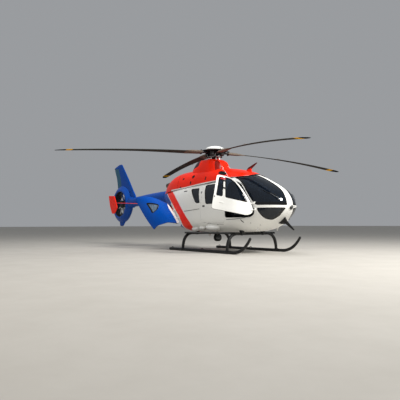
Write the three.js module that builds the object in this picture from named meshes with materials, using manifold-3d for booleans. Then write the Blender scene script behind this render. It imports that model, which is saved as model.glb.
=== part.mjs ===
// A light twin-engine rescue helicopter parked on its skids: hollow cabin with hinged front doors,
// sliding side doors and rear clamshell doors, a four-blade main rotor and a ducted tail rotor.
// Millimetres, +X to the nose, +Y to port, +Z up. The shapes are drawn with the rotor mast at x = 0,
// and the whole is then moved forward by mastX so that the origin lies under the middle of its box.
import * as THREE from "three";
import { mergeVertices } from "three/addons/utils/BufferGeometryUtils.js";
import Module from "manifold-3d";

const wasm = await Module();
wasm.setup();

// Driving dimensions
const mastX = 1094.3;
const gap = 0.3; // between pieces that touch
const doorGap = 6; // round a door that opens
const wall = 42; // cabin wall and doors
const skin = 22; // cowlings
const glassDepth = 14; // glass lies this far inside the outer surface
const glassThick = 7;
const postHalf = 115; // half the post between the windscreens
const chinHalf = 150; // half the nose between the chin windows
const rotorRadius = 5100;
const hubZ = 3225;
const bladeZ = hubZ - 8; // middle of the arms and blade roots
const armEnd = 465; // each hub arm's end, where its blade starts
const armLength = 330;
const capSeatZ = 3296;
const bladeDroops = [370, 420, 370, 230]; // each tip below the hub, as they hang
const rotorTurn = -13.1; // degrees, blade 1 from the nose to starboard
const skidHalfTrack = 1014;
const skidTubeR = 45;
const frontCrossX = 1764;
const rearCrossX = -403;
const crossTubeR = 36;
const floorZ = 800;
const ductX = -6350;
const ductZ = 1730;
const ductR = 505;
const shroudR = 800;
const shroudHalf = 185;
const fanR = 492;
const frontDoorOpen = 56; // degrees that the right front door stands open
const clamshellOpen = 100;

// Cabin sections: station, belly, roof, half width, height of the widest line, roundness above, below
const podStations = [
  [3260, 1380, 1390, 6, 1385, 2.0, 2.0],
  [3240, 1295, 1490, 150, 1380, 2.0, 2.0],
  [3180, 1180, 1620, 325, 1365, 2.05, 2.05],
  [3060, 1045, 1780, 475, 1335, 2.1, 2.1],
  [2860, 895, 1922, 600, 1290, 2.2, 2.2],
  [2560, 735, 2080, 692, 1230, 2.35, 2.3],
  [2250, 655, 2222, 745, 1190, 2.5, 2.5],
  [1950, 628, 2318, 770, 1165, 2.7, 2.7],
  [1500, 608, 2335, 780, 1150, 2.8, 2.9],
  [800, 600, 2320, 780, 1150, 2.9, 3.1],
  [0, 600, 2300, 780, 1150, 2.9, 3.1],
  [-650, 605, 2280, 776, 1160, 2.9, 3.0],
  [-1050, 650, 2262, 756, 1200, 2.8, 2.7],
  [-1450, 775, 2235, 705, 1320, 2.7, 2.4],
  [-1850, 985, 2200, 612, 1500, 2.5, 2.2],
  [-2250, 1270, 2160, 470, 1680, 2.2, 2.1],
  [-2650, 1575, 2112, 270, 1843, 2.0, 2.0],
];
const podRings = [3260, 3242, 3195, 3110, 2980, 2820, 2620, 2400, 2150, 1850, 1400, 500, -400, -900,
  -1300, -1700, -2150, -2650];
const ringSides = 28;

// Panels in side view, as x and z, listed nose end first
const frontDoorLine = [[2400, 1040], [2545, 1120], [2565, 1245], [2478, 1407], [2292, 1654], [2160, 1815],
  [1990, 1985], [1830, 2075], [1680, 2118], [1405, 2118], [1405, 1040]];
const slidingDoorLine = [[1375, 900], [1375, 2165], [230, 2128], [230, 900]];
const windscreenLine = [[3600, 1360], [2690, 1380], [2610, 1510], [2330, 1745], [2075, 2010], [1930, 2140],
  [1780, 2225], [1780, 2400], [3600, 2400]];
const chinWindowLine = [[3215, 1302], [3130, 1145], [3000, 1010], [2900, 980], [2755, 1090], [2665, 1210],
  [2665, 1302]];
const frontPaneLine = [[2370, 1412], [2184, 1656], [2048, 1808], [1887, 1941], [1770, 2030], [1700, 2042],
  [1690, 1425]];
const rearPaneLine = [[1625, 1440], [1625, 2045], [1478, 2045], [1478, 1440]];
const slidingPaneLine = [[1290, 1475], [1290, 2115], [290, 2095], [480, 1475]];
const quarterPaneLine = [[150, 1520], [-25, 2015], [-445, 2006], [-85, 1570], [-20, 1520]];
const clamshellLine = [[-860, 905], [-1560, 1515], [-2720, 1495], [-2720, 500], [-860, 500]];
// The belly under the clamshell doors' front edge, as x and the sum of z and distance from the middle,
// so that it is cut square to the skin
const trayLine = [[-1385, 0], [-1385, 925], [-1370, 976], [-1190, 1331], [-860, 1633], [-700, 1780],
  [-700, 0]];
const clamshellCutback = 45; // the doors' front corner stops short of the hinge line's, to swing clear
const frontDoorDrop = 8; // the front doors' top edge lies this much under the opening's, to swing clear
const clamshellPaneLine = [[-1725, 1085], [-1790, 1262], [-2180, 1285], [-1770, 980]];
const cowlLowLine = [[2100, 2262], [1700, 2275], [1200, 2262], [740, 2190], [-30, 2130], [-860, 2070],
  [-1560, 2030], [-2600, 1960], [-2600, 3500], [2100, 3500]];

const at = (x, y, z) => new THREE.Vector3(x, y, z);

function smooth(table, x, column) {
  // Cubic through the stations, with slopes from the neighbours on each side
  let i = 0;
  while (i < table.length - 2 && x < table[i + 1][0]) i += 1;
  const at = (k) => table[Math.min(Math.max(k, 0), table.length - 1)];
  const [a, b] = [at(i), at(i + 1)];
  const span = b[0] - a[0];
  const slope = (k) => {
    const [p, n] = [at(k - 1), at(k + 1)];
    return (n[column] - p[column]) / (n[0] - p[0]);
  };
  const t = (x - a[0]) / span;
  const [t2, t3] = [t * t, t * t * t];
  return (2 * t3 - 3 * t2 + 1) * a[column] + (t3 - 2 * t2 + t) * span * slope(i)
    + (3 * t2 - 2 * t3) * b[column] + (t3 - t2) * span * slope(i + 1);
}

// One ring of the cabin surface at station x, moved inward by inset
function podRing(x, inset) {
  const [belly, roof, half, widest, above, below] = [1, 2, 3, 4, 5, 6].map((c) => smooth(podStations, x, c));
  const w = Math.max(half - inset, 1);
  const up = Math.max(roof - inset - widest, 1);
  const down = Math.max(widest - belly - inset, 1);
  return Array.from({ length: ringSides }, (_, k) => {
    const angle = (2 * Math.PI * k) / ringSides;
    const [c, s] = [Math.cos(angle), Math.sin(angle)];
    const power = 2 / (s >= 0 ? above : below);
    const y = w * Math.sign(c) * Math.abs(c) ** power;
    const z = widest + (s >= 0 ? up : -down) * Math.abs(s) ** power;
    return new THREE.Vector3(x, y, z);
  });
}

// Half width of the cabin surface at station x and height z
function podHalfWidth(x, z) {
  const [belly, roof, half, widest, above, below] = [1, 2, 3, 4, 5, 6].map((c) => smooth(podStations, x, c));
  const [reach, power] = z >= widest ? [roof - widest, above] : [widest - belly, below];
  return half * (1 - (Math.abs(z - widest) / reach) ** power) ** (1 / power);
}

// A closed skin over rings of equal count, with each end closed by a fan
function loft(rings) {
  const count = rings[0].length;
  const middle = (ring) => ring.reduce((sum, p) => sum.clone().add(p)).divideScalar(count);
  const points = rings.flat().concat([middle(rings[0]), middle(rings[rings.length - 1])]);
  const [first, last] = [points.length - 2, points.length - 1];
  const faces = [];
  for (let k = 0; k < count; k += 1) {
    const next = (k + 1) % count;
    for (let i = 0; i + 1 < rings.length; i += 1) {
      const [a, b] = [i * count + k, i * count + next];
      const [c, d] = [a + count, b + count];
      faces.push(a, c, b, b, c, d);
    }
    const end = (rings.length - 1) * count;
    faces.push(first, k, next, last, end + next, end + k);
  }
  const geometry = new THREE.BufferGeometry().setFromPoints(points);
  geometry.setIndex(faces);
  return solidOf(geometry);
}

function solidOf(geometry) {
  const bare = geometry.clone();
  bare.deleteAttribute("normal");
  bare.deleteAttribute("uv");
  const merged = mergeVertices(bare, 1e-3);
  const solid = (index) => new wasm.Manifold(new wasm.Mesh({
    numProp: 3,
    vertProperties: new Float32Array(merged.attributes.position.array),
    triVerts: new Uint32Array(index),
  }));
  const made = solid(merged.index.array);
  return made.volume() > 0 ? made : solid(Array.from(merged.index.array).reverse());
}

function geometryOf(solid) {
  const mesh = solid.getMesh();
  const geometry = new THREE.BufferGeometry();
  geometry.setAttribute("position", new THREE.BufferAttribute(mesh.vertProperties, 3));
  geometry.setIndex(new THREE.BufferAttribute(mesh.triVerts, 1));
  geometry.computeVertexNormals();
  return geometry;
}

const joined = (...solids) => solids.reduce((a, b) => a.add(b));

// An outline moved outward by distance, inward if negative
function offset(outline, distance) {
  const turning = Math.sign(THREE.ShapeUtils.area(outline.map(([x, y]) => ({ x, y }))));
  const edges = outline.map(([x, y], i) => {
    const [nx, ny] = outline[(i + 1) % outline.length];
    const length = Math.hypot(nx - x, ny - y);
    const [ux, uy] = [(nx - x) / length, (ny - y) / length];
    return { x: x + uy * distance * turning, y: y - ux * distance * turning, ux, uy };
  });
  return edges.map((e, i) => {
    const p = edges[(i + edges.length - 1) % edges.length];
    const cross = p.ux * e.uy - p.uy * e.ux;
    const t = Math.abs(cross) < 1e-6 ? 0 : ((e.x - p.x) * e.uy - (e.y - p.y) * e.ux) / cross;
    return Math.abs(cross) < 1e-6 ? [e.x, e.y] : [p.x + p.ux * t, p.y + p.uy * t];
  });
}

// The same outline with each corner rounded by a quadratic bend that starts reach away from it
function rounded(outline, reach, steps = 2) {
  const path = new THREE.Path();
  outline.forEach(([x, y], i) => {
    const before = outline[(i + outline.length - 1) % outline.length];
    const after = outline[(i + 1) % outline.length];
    const towards = ([tx, ty]) => {
      const length = Math.hypot(tx - x, ty - y);
      const share = Math.min(reach, length * 0.45) / length;
      return [x + (tx - x) * share, y + (ty - y) * share];
    };
    const [start, end] = [towards(before), towards(after)];
    if (i === 0) path.moveTo(...start);
    else path.lineTo(...start);
    path.quadraticCurveTo(x, y, ...end);
  });
  return path.getPoints(steps).map((p) => [p.x, p.y]);
}

function extruded(outline, depth) {
  const shape = new THREE.Shape(outline.map(([x, y]) => new THREE.Vector2(x, y)));
  return new THREE.ExtrudeGeometry(shape, { depth, bevelEnabled: false });
}

// A prism from an outline seen from the side, as x and z
function sidePrism(outline, y0, y1) {
  return solidOf(extruded(outline, y1 - y0).rotateX(Math.PI / 2).translate(0, y1, 0));
}
function box(x0, x1, y0, y1, z0, z1) {
  const geometry = new THREE.BoxGeometry(x1 - x0, y1 - y0, z1 - z0);
  return solidOf(geometry.translate((x0 + x1) / 2, (y0 + y1) / 2, (z0 + z1) / 2));
}
function cylinder(radius, from, to, sides = 20, endRadius = radius) {
  const axis = to.clone().sub(from);
  const geometry = new THREE.CylinderGeometry(endRadius, radius, axis.length(), sides);
  const turn = new THREE.Quaternion().setFromUnitVectors(at(0, 1, 0), axis.clone().normalize());
  const middle = from.clone().add(to).divideScalar(2);
  return solidOf(geometry.applyQuaternion(turn).translate(middle.x, middle.y, middle.z));
}
// A round bar through points that lie in one plane, whose normal is across
function bar(points, radius, across, sides = 12) {
  return loft(points.map((p, i) => {
    const [before, after] = [points[Math.max(i - 1, 0)], points[Math.min(i + 1, points.length - 1)]];
    const along = after.clone().sub(before).normalize();
    const upward = along.cross(across).normalize();
    return Array.from({ length: sides }, (_, k) => {
      const angle = (2 * Math.PI * k) / sides;
      const [c, s] = [radius * Math.cos(angle), radius * Math.sin(angle)];
      return p.clone().addScaledVector(across, c).addScaledVector(upward, s);
    });
  }));
}
function turned(profile, sides) {
  const points = profile.map(([r, z]) => new THREE.Vector2(r, z));
  return new THREE.LatheGeometry(points, sides).rotateX(Math.PI / 2);
}
// The prism on one side of the middle, from near outward
const sideOf = (outline, side, near) => sidePrism(outline, ...(side < 0 ? [-1300, -near] : [near, 1300]));

const pod = (inset, from = 3260, to = -2650) => {
  const rings = podRings.filter((x) => x < from && x > to);
  return loft([from, ...rings, to].map((x) => podRing(x, inset)));
};
const podOuter = pod(0);
const podSeat = pod(-gap);
const podInner = pod(wall, 3195, -2600);
const glassSkin = pod(glassDepth, 3235).subtract(pod(glassDepth + glassThick, 3228));
const shell = podOuter.subtract(podInner);

const paint = (name, color, roughness, metalness = 0) => {
  const material = new THREE.MeshStandardMaterial({ color, roughness, metalness });
  material.name = name;
  return material;
};
const white = paint("white_paint", 0xe9e9e4, 0.3);
const red = paint("red_paint", 0xd8311b, 0.3);
const blue = paint("blue_paint", 0x1546a8, 0.3);
const glass = paint("tinted_glass", 0x1c262c, 0.08);
const black = paint("black_paint", 0x17181a, 0.5);
const blade = paint("blade_composite", 0x3a332e, 0.55);
const steel = paint("bare_steel", 0x8d9094, 0.35, 1);
const cloth = paint("seat_cloth", 0x2a2d33, 0.9);
const liner = paint("cabin_liner", 0x8f9294, 0.8);
const alloy = paint("alloy_casting", 0x9b9d9e, 0.5, 1);

const helicopter = new THREE.Group();
const airframe = new THREE.Group();
airframe.position.x = mastX;
helicopter.add(airframe);

function piece(group, name, solid, material) {
  const mesh = new THREE.Mesh(geometryOf(solid), material);
  mesh.name = name;
  group.add(mesh);
}

// A group whose contents, drawn closed, stand turned about a hinge
function hinged(pivot, axis, degrees) {
  const outer = new THREE.Group();
  outer.position.copy(pivot);
  outer.quaternion.setFromAxisAngle(axis.clone().normalize(), THREE.MathUtils.degToRad(degrees));
  const inner = new THREE.Group();
  inner.position.copy(pivot).negate();
  outer.add(inner);
  airframe.add(outer);
  return inner;
}

const sides = [[-1, "right"], [1, "left"]];

// Door hinges: each is a knuckle on the frame above a knuckle on the door, both round the hinge line.
// The frame's stands on a post, the door's on a strap that runs outside the skin and dips into the panel.
const knuckleR = 14;
const knuckleLength = 30;
const strapR = 9;
const strapProud = 17; // strap's middle outside the skin
const strapRoot = 20; // depth inside the skin where posts and straps end
const frontHinge = (side) => [at(2540, side * 690, 1500), at(-0.3, -side * 0.07, 1)];
const clamshellHinge = (side) => [at(-1098, side * 765, 1155), at(-0.96, -side * 0.06, 1)];
// Distance along the hinge line from its pivot, distance from the line to the strap's end
const frontHingePlaces = [[-250, 115], [-60, 150]];
const clamshellHingePlaces = [[-120, 65], [250, 110]];

function hingePieces(line, places, side) {
  const [pivot, axis] = line(side);
  const along = axis.clone().normalize();
  const toDoor = at(-along.z, 0, along.x).normalize();
  const onSkin = (p, proud) => at(p.x, side * (podHalfWidth(p.x, p.z) + proud), p.z);
  const pairs = places.map(([place, reach]) => {
    const middle = pivot.clone().addScaledVector(along, place);
    const on = (d) => middle.clone().addScaledVector(along, d);
    const [post, strap] = [on(knuckleLength / 2), on(-knuckleLength / 2)];
    const foot = onSkin(post.clone().addScaledVector(toDoor, -2 * knuckleR), -strapRoot);
    const end = strap.clone().addScaledVector(toDoor, reach);
    return [
      joined(cylinder(knuckleR, on(gap), on(knuckleLength), 8), cylinder(strapR, post, foot, 6)),
      joined(cylinder(knuckleR, on(0), on(-knuckleLength), 8),
        cylinder(strapR, strap, onSkin(end, strapProud), 6),
        cylinder(strapR, onSkin(end, strapProud + strapR), onSkin(end, -strapRoot), 6)),
    ];
  });
  return { frame: joined(...pairs.map((p) => p[0])), door: joined(...pairs.map((p) => p[1])) };
}

// The belly's side view prism, leaned at 45 degrees so that its top edge faces square off the skin
function tray(side, grown) {
  const lean = new THREE.Matrix4().makeShear(0, 0, 0, -side, 0, 0);
  const [y0, y1] = side < 0 ? [-1300, 10] : [-10, 1300];
  return sidePrism(offset(trayLine, grown), y0, y1).transform(lean.elements);
}

// Cabin: the shell with its door and window openings cut
function cabin() {
  const bay = sidePrism(clamshellLine, -1300, 1300).subtract(tray(-1, 0)).subtract(tray(1, 0));
  let body = shell.subtract(bay);
  const openings = [frontDoorLine, slidingDoorLine];
  sides.forEach(([side]) => {
    openings.forEach((line) => { body = body.subtract(sideOf(rounded(line, 90), side, 250)); });
    body = body.subtract(sideOf(rounded(windscreenLine, 70), side, postHalf));
    body = body.subtract(sideOf(rounded(chinWindowLine, 40), side, chinHalf));
    body = body.subtract(sideOf(rounded(quarterPaneLine, 45), side, 250));
    body = body.add(hingePieces(frontHinge, frontHingePlaces, side).frame);
    body = body.add(hingePieces(clamshellHinge, clamshellHingePlaces, side).frame);
  });
  piece(airframe, "cabin_shell", body, white);
}

// Glass that fills an outline, as a thin skin inside the outer surface
function pane(outline, reach, side, near) {
  return glassSkin.intersect(sideOf(offset(rounded(outline, reach), -gap), side, near + gap));
}

function cabinGlass() {
  sides.forEach(([side, hand]) => {
    piece(airframe, `windscreen_${hand}`, pane(windscreenLine, 70, side, postHalf), glass);
    piece(airframe, `chin_window_${hand}`, pane(chinWindowLine, 40, side, chinHalf), glass);
    piece(airframe, `quarter_window_${hand}`, pane(quarterPaneLine, 45, side, 250), glass);
  });
}

function slidingDoors() {
  sides.forEach(([side, hand]) => {
    const panel = shell.intersect(sideOf(offset(rounded(slidingDoorLine, 90), -gap), side, 250));
    const opening = sideOf(rounded(slidingPaneLine, 70), side, 250);
    piece(airframe, `sliding_door_${hand}`, panel.subtract(opening), white);
    piece(airframe, `sliding_door_glass_${hand}`, pane(slidingPaneLine, 70, side, 250), glass);
  });
}

function frontDoors() {
  sides.forEach(([side, hand]) => {
    const [pivot, axis] = frontHinge(side);
    const group = hinged(pivot, axis, side < 0 ? frontDoorOpen : 0);
    const line = frontDoorLine.map(([x, z]) => [x, Math.min(z, 2118 - frontDoorDrop)]);
    let panel = shell.intersect(sideOf(offset(rounded(line, 90), -doorGap), side, 250));
    [frontPaneLine, rearPaneLine].forEach((line) => {
      panel = panel.subtract(sideOf(rounded(line, 50), side, 250));
    });
    panel = panel.add(hingePieces(frontHinge, frontHingePlaces, side).door);
    piece(group, `front_door_${hand}`, panel, white);
    piece(group, `front_door_glass_${hand}`, pane(frontPaneLine, 50, side, 250), glass);
    piece(group, `front_door_rear_glass_${hand}`, pane(rearPaneLine, 50, side, 250), glass);
  });
}

function clamshellDoors() {
  sides.forEach(([side, hand]) => {
    const [pivot, axis] = clamshellHinge(side);
    const group = hinged(pivot, axis, -side * clamshellOpen);
    const [front, back] = [-860 - clamshellCutback, -860];
    const nose = box(front, back, -1300, 1300, 500, 1600);
    const outline = sideOf(offset(clamshellLine, -doorGap), side, 3);
    const panel = shell.intersect(outline).subtract(tray(side, doorGap * Math.SQRT2)).subtract(nose);
    const opening = sideOf(rounded(clamshellPaneLine, 60), side, 150);
    const hinges = hingePieces(clamshellHinge, clamshellHingePlaces, side).door;
    piece(group, `clamshell_door_${hand}`, panel.subtract(opening).add(hinges), blue);
    piece(group, `clamshell_glass_${hand}`, pane(clamshellPaneLine, 60, side, 150), glass);
  });
}

// Cowlings: station, top, half width
const cowlStations = [[1985, 2345, 210], [1860, 2395, 350], [1600, 2465, 450], [1200, 2550, 530],
  [700, 2625, 575], [0, 2665, 592], [-700, 2675, 592], [-1300, 2665, 580], [-1760, 2605, 535],
  [-2110, 2480, 455], [-2360, 2310, 360], [-2540, 2140, 260]];
const cowlRings = [1985, 1900, 1700, 1300, 700, 0, -800, -1500, -1800, -2050, -2250, -2420, -2540];
const cowlProud = 12; // the cowlings' lower margin stands this far off the cabin
const cowlRear = -2540;
const cowlBaseZ = 2020;
const cowlSplitX = -1330;
const cowlRoundness = 2.5;
const cowlSides = 20;

function cowlRing(x, inset) {
  const [top, wide] = [1, 2].map((c) => smooth(cowlStations, x, c));
  return Array.from({ length: cowlSides }, (_, k) => {
    const angle = (2 * Math.PI * k) / cowlSides;
    const [c, s] = [Math.cos(angle), Math.sin(angle)];
    const rise = s >= 0 ? top - inset - cowlBaseZ : 220 - inset;
    return at(x, (wide - inset) * Math.sign(c) * Math.abs(c) ** (2 / cowlRoundness),
      cowlBaseZ + rise * Math.sign(s) * Math.abs(s) ** (2 / cowlRoundness));
  });
}
const cowl = (inset, from, to) => {
  const rings = cowlRings.filter((x) => x < from && x > to);
  return loft([from, ...rings, to].map((x) => cowlRing(x, inset)));
};

// Mast fairing on the transmission cowling: height, front, rear, half width
const fairingLevels = [[2450, 620, -1060, 420], [2700, 575, -840, 385], [2850, 530, -670, 340],
  [2945, 460, -530, 290], [2990, 350, -380, 220]];
const fairingSides = 20;

function fairing(inset) {
  return loft(fairingLevels.map(([z, front, rear, wide]) => Array.from({ length: fairingSides }, (_, k) => {
    const angle = (2 * Math.PI * k) / fairingSides;
    const [c, s] = [Math.cos(angle), Math.sin(angle)];
    const [mid, reach] = [(front + rear) / 2, (front - rear) / 2 - inset];
    const [u, v] = [c, s].map((part) => Math.sign(part) * Math.abs(part) ** 0.6);
    const level = z > fairingLevels[0][0] ? z - inset : z + 1;
    return at(mid + reach * u, (wide - inset) * v, inset ? level : z);
  })));
}

const engineR = 168;
const engineY = 255;
const engineZ = 2322;
const engineRear = -1780;
const exhaustR = 95;
const exhaustStart = (side) => at(engineRear + 10, side * 250, 2350);
const exhaustEnd = (side) => at(-2450, side * 215, 2262);
const mastHoleR = 175;
const gearboxTop = 2760;

function cowlings() {
  const above = sidePrism(cowlLowLine, -1200, 1200);
  const margin = (from, to) => pod(-cowlProud, from, to).intersect(above);
  const front = joined(cowl(0, 1985, cowlSplitX), margin(1985, cowlSplitX), fairing(0));
  const frontHollow = joined(cowl(skin, 1940, cowlSplitX - 1), fairing(skin));
  const mastHole = cylinder(mastHoleR, at(0, 0, 2700), at(0, 0, 3200), 24);
  const seated = (outer, hollow) => outer.intersect(above).subtract(hollow).subtract(podSeat);
  piece(airframe, "transmission_cowling", seated(front, frontHollow).subtract(mastHole), red);
  const rearOuter = joined(cowl(0, cowlSplitX - gap, cowlRear), margin(cowlSplitX - gap, cowlRear));
  let rear = seated(rearOuter, cowl(skin, cowlSplitX + 1, cowlRear + 40));
  sides.forEach(([side]) => {
    const [start, end] = [exhaustStart(side), exhaustEnd(side)];
    const past = end.clone().add(end.clone().sub(start).setLength(40));
    rear = rear.subtract(cylinder(exhaustR + 2 * gap, start, past, 20));
  });
  piece(airframe, "engine_cowling", rear, red);
}

function powerPlant() {
  sides.forEach(([side, hand]) => {
    const ends = [engineRear, -760].map((x) => at(x, side * engineY, engineZ));
    const engine = cylinder(engineR, ...ends, 20);
    piece(airframe, `engine_${hand}`, engine.subtract(podSeat), alloy);
    const [start, end] = [exhaustStart(side), exhaustEnd(side)];
    const aft = end.clone().sub(start).normalize();
    const pipe = cylinder(exhaustR, start, end, 20);
    const bore = cylinder(exhaustR - 8, ...[[start, 60], [end, 10]].map(
      ([p, d]) => p.clone().addScaledVector(aft, d)), 20);
    const flush = box(engineRear - gap, engineRear + 200, -900, 900, 2000, 2900);
    piece(airframe, `exhaust_${hand}`, pipe.subtract(bore).subtract(flush).subtract(podSeat), steel);
  });
  piece(airframe, "main_gearbox", box(-330, 330, -290, 290, 2150, gearboxTop).subtract(podSeat), alloy);
}

// Tail boom: station, radius, height of its middle
const boomStations = [[-2650, 270, 1843], [-3200, 252, 1848], [-4000, 228, 1838], [-4700, 205, 1815],
  [-5300, 190, 1785]];
const boomStart = -2650 - gap;
const boomEnd = -5300;

function roundLoft(from, to, inset, sidesCount = 20, steps = 5) {
  return loft(Array.from({ length: steps + 1 }, (_, i) => {
    const x = from + ((to - from) * i) / steps;
    const [radius, middle] = [1, 2].map((c) => smooth(boomStations, x, c));
    return Array.from({ length: sidesCount }, (_, k) => {
      const angle = (2 * Math.PI * k) / sidesCount;
      return at(x, (radius - inset) * Math.cos(angle), middle + (radius - inset) * Math.sin(angle));
    });
  }));
}

// A wing section: chord from leading to trailing edge, thick at 30 % of the chord
const wingSteps = [0, 0.04, 0.15, 0.35, 0.65, 1];
const wingHalf = (t) => 2.6 * (Math.sqrt(t) * 0.28 - 0.12 * t - 0.16 * t * t) * 1.9;
function wingOutline() {
  const upper = wingSteps.map((t) => [t, wingHalf(t) / 2]);
  const lower = wingSteps.slice(1, -1).reverse().map((t) => [t, -wingHalf(t) / 2]);
  return upper.concat(lower);
}

const ductBore = (inset) => solidOf(turned([[0, -400], [ductR + 110, -400], [ductR + 90, -shroudHalf - 1],
  [ductR + 28, -shroudHalf + 30], [ductR, -shroudHalf + 90], [ductR, shroudHalf - 60],
  [ductR + 25, shroudHalf + 1], [ductR + 25, 400], [0, 400]]
  .map(([r, z]) => [Math.max(r - inset, 0), z]), 36)
  .rotateX(Math.PI / 2).translate(ductX, 0, ductZ));
const statorFace = 38; // the fan's back turns against it
const statorHubR = 150;

function tail() {
  const boom = roundLoft(boomStart, boomEnd, 0).subtract(roundLoft(boomStart + 1, boomEnd + 40, 10));
  piece(airframe, "tail_boom", boom, blue);

  // Fin: height, leading edge, trailing edge, thickness
  const finLevels = [[1500, -5330, -6900, 120], [1960, -5190, -6900, 190], [2250, -5390, -6800, 175],
    [2850, -5870, -6900, 140], [3365, -6318, -7105, 105], [3440, -6385, -6900, 80],
    [3495, -6455, -6700, 50]];
  const fin = loft(finLevels.map(([z, lead, trail, thick]) => wingOutline().map(
    ([t, h]) => at(lead + (trail - lead) * t, h * thick, z))));
  const lip = 70;
  const shroud = solidOf(turned([[0, -shroudHalf + lip], [ductR + lip, -shroudHalf],
    [shroudR - 60, -shroudHalf + 95], [shroudR, -55], [shroudR, 55], [shroudR - 60, shroudHalf - 95],
    [ductR + lip, shroudHalf], [0, shroudHalf - lip]], 36).rotateX(Math.PI / 2).translate(ductX, 0, ductZ));
  const neck = loft([[-5300 - gap, 190, 190, 1785], [-5600, 180, 210, 1770], [-6000, 150, 240, 1750]].map(
    ([x, wide, high, z]) => Array.from({ length: 20 }, (_, k) => at(x, wide * Math.cos((Math.PI * k) / 10),
      z + high * Math.sin((Math.PI * k) / 10)))));
  const ventral = sidePrism([[-5900, 1150], [-6700, 1150], [-6560, 800], [-6260, 790]], -35, 35);
  const boomSeat = roundLoft(boomStart, boomEnd, -gap);
  const whole = joined(fin, shroud, neck, ventral).subtract(ductBore(0)).subtract(boomSeat);
  piece(airframe, "fin_and_duct", whole, blue);

  // Stator: its vanes reach the duct and carry the tail gearbox
  let stator = cylinder(statorHubR, at(ductX, statorFace, ductZ), at(ductX, 165, ductZ), 20);
  for (let k = 0; k < 11; k += 1) {
    const angle = (2 * Math.PI * k) / 11 + 0.2;
    const [inner, outer] = [statorHubR - 20, ductR + 60];
    const vane = new THREE.BoxGeometry(outer - inner, 70, k === 0 ? 60 : 14);
    vane.translate((outer + inner) / 2, 100, 0).rotateY(angle).translate(ductX, 0, ductZ);
    stator = stator.add(solidOf(vane));
  }
  piece(airframe, "tail_stator", stator.intersect(ductBore(gap)), blue);

  // Stabiliser halves and their end plates
  const plateLine = [[-4330, 1500], [-4590, 1960], [-5060, 1985], [-4930, 1560], [-4760, 1270],
    [-4560, 1270]];
  sides.forEach(([side, hand]) => {
    const [chordStart, chordEnd] = [-4330, -4790];
    const wing = loft([side * 60, side * 1300].map((y) => wingOutline().map(
      ([t, h]) => at(chordStart + (chordEnd - chordStart) * t, y, 1680 + h * 52))));
    piece(airframe, `stabiliser_${hand}`, wing.subtract(boomSeat), blue);
    const [y0, y1] = side < 0 ? [-1330, -1300 - gap] : [1300 + gap, 1330];
    piece(airframe, `end_plate_${hand}`, sidePrism(rounded(plateLine, 60), y0, y1), red);
  });
}

// Skids, cross tubes and boarding steps
const skidRear = -1160;
const skidBend = [[2000, skidTubeR], [2330, skidTubeR], [2560, 190], [2745, 480]];
function skidLine(side) {
  const ends = skidBend.map(([x, z]) => at(x, side * skidHalfTrack, z));
  const rear = at(skidRear, side * skidHalfTrack, skidTubeR);
  return [rear, ...new THREE.CubicBezierCurve3(...ends).getPoints(7)];
}
const alongX = at(1, 0, 0);
const alongY = at(0, 1, 0);

// A cross tube rises from one skid, runs under the belly and drops to the other
const legFoot = [skidHalfTrack - 4, 60];
const legBend = [[skidHalfTrack - 10, 250], [960, 560], [640, 562]];
function crossLine(x, side) {
  const bend = [legFoot, ...legBend].map(([y, z]) => at(x, side * y, z));
  return new THREE.CubicBezierCurve3(...bend).getPoints(8);
}
const stepY = [760, 900];
const stepZ = [572, 600];
const stepStubZ = 500; // the stubs start inside the cross tube

const skidSides = 14;
const alongSkid = (radius, x0, x1, side) => bar([x0, x1].map(
  (x) => at(x, side * skidHalfTrack, skidTubeR)), radius, alongY, skidSides);

function undercarriage() {
  [[frontCrossX, "front"], [rearCrossX, "rear"]].forEach(([x, place]) => {
    let arch = bar([...crossLine(x, -1), ...crossLine(x, 1).reverse()], crossTubeR, alongX);
    sides.forEach(([side]) => {
      const saddle = box(x - 55, x + 55, side * 430 - 50, side * 430 + 50, 555, 680);
      arch = arch.add(alongSkid(skidTubeR + 16, x - 70, x + 70, side)).add(saddle);
    });
    sides.forEach(([side]) => {
      arch = arch.subtract(alongSkid(skidTubeR + gap, x - 90, x + 90, side));
    });
    arch = arch.subtract(box(-4000, 4000, -2000, 2000, -200, 0.05)).subtract(podSeat);
    piece(airframe, `${place}_cross_tube`, arch, black);
  });
  sides.forEach(([side, hand]) => {
    piece(airframe, `skid_${hand}`, bar(skidLine(side), skidTubeR, alongY, skidSides), black);
  });
}

function steps() {
  sides.forEach(([side, hand]) => {
    const [y0, y1] = side < 0 ? [-stepY[1], -stepY[0]] : stepY;
    let board = box(rearCrossX - 60, frontCrossX + 60, y0, y1, ...stepZ);
    [rearCrossX, frontCrossX].forEach((x) => {
      const stub = box(x - 25, x + 25, side * 830 - 25, side * 830 + 25, stepStubZ, stepZ[0] + 5);
      board = board.add(stub).subtract(bar(crossLine(x, side), crossTubeR + gap, alongX));
    });
    piece(airframe, `boarding_step_${hand}`, board.subtract(podSeat), black);
  });
}

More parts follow.
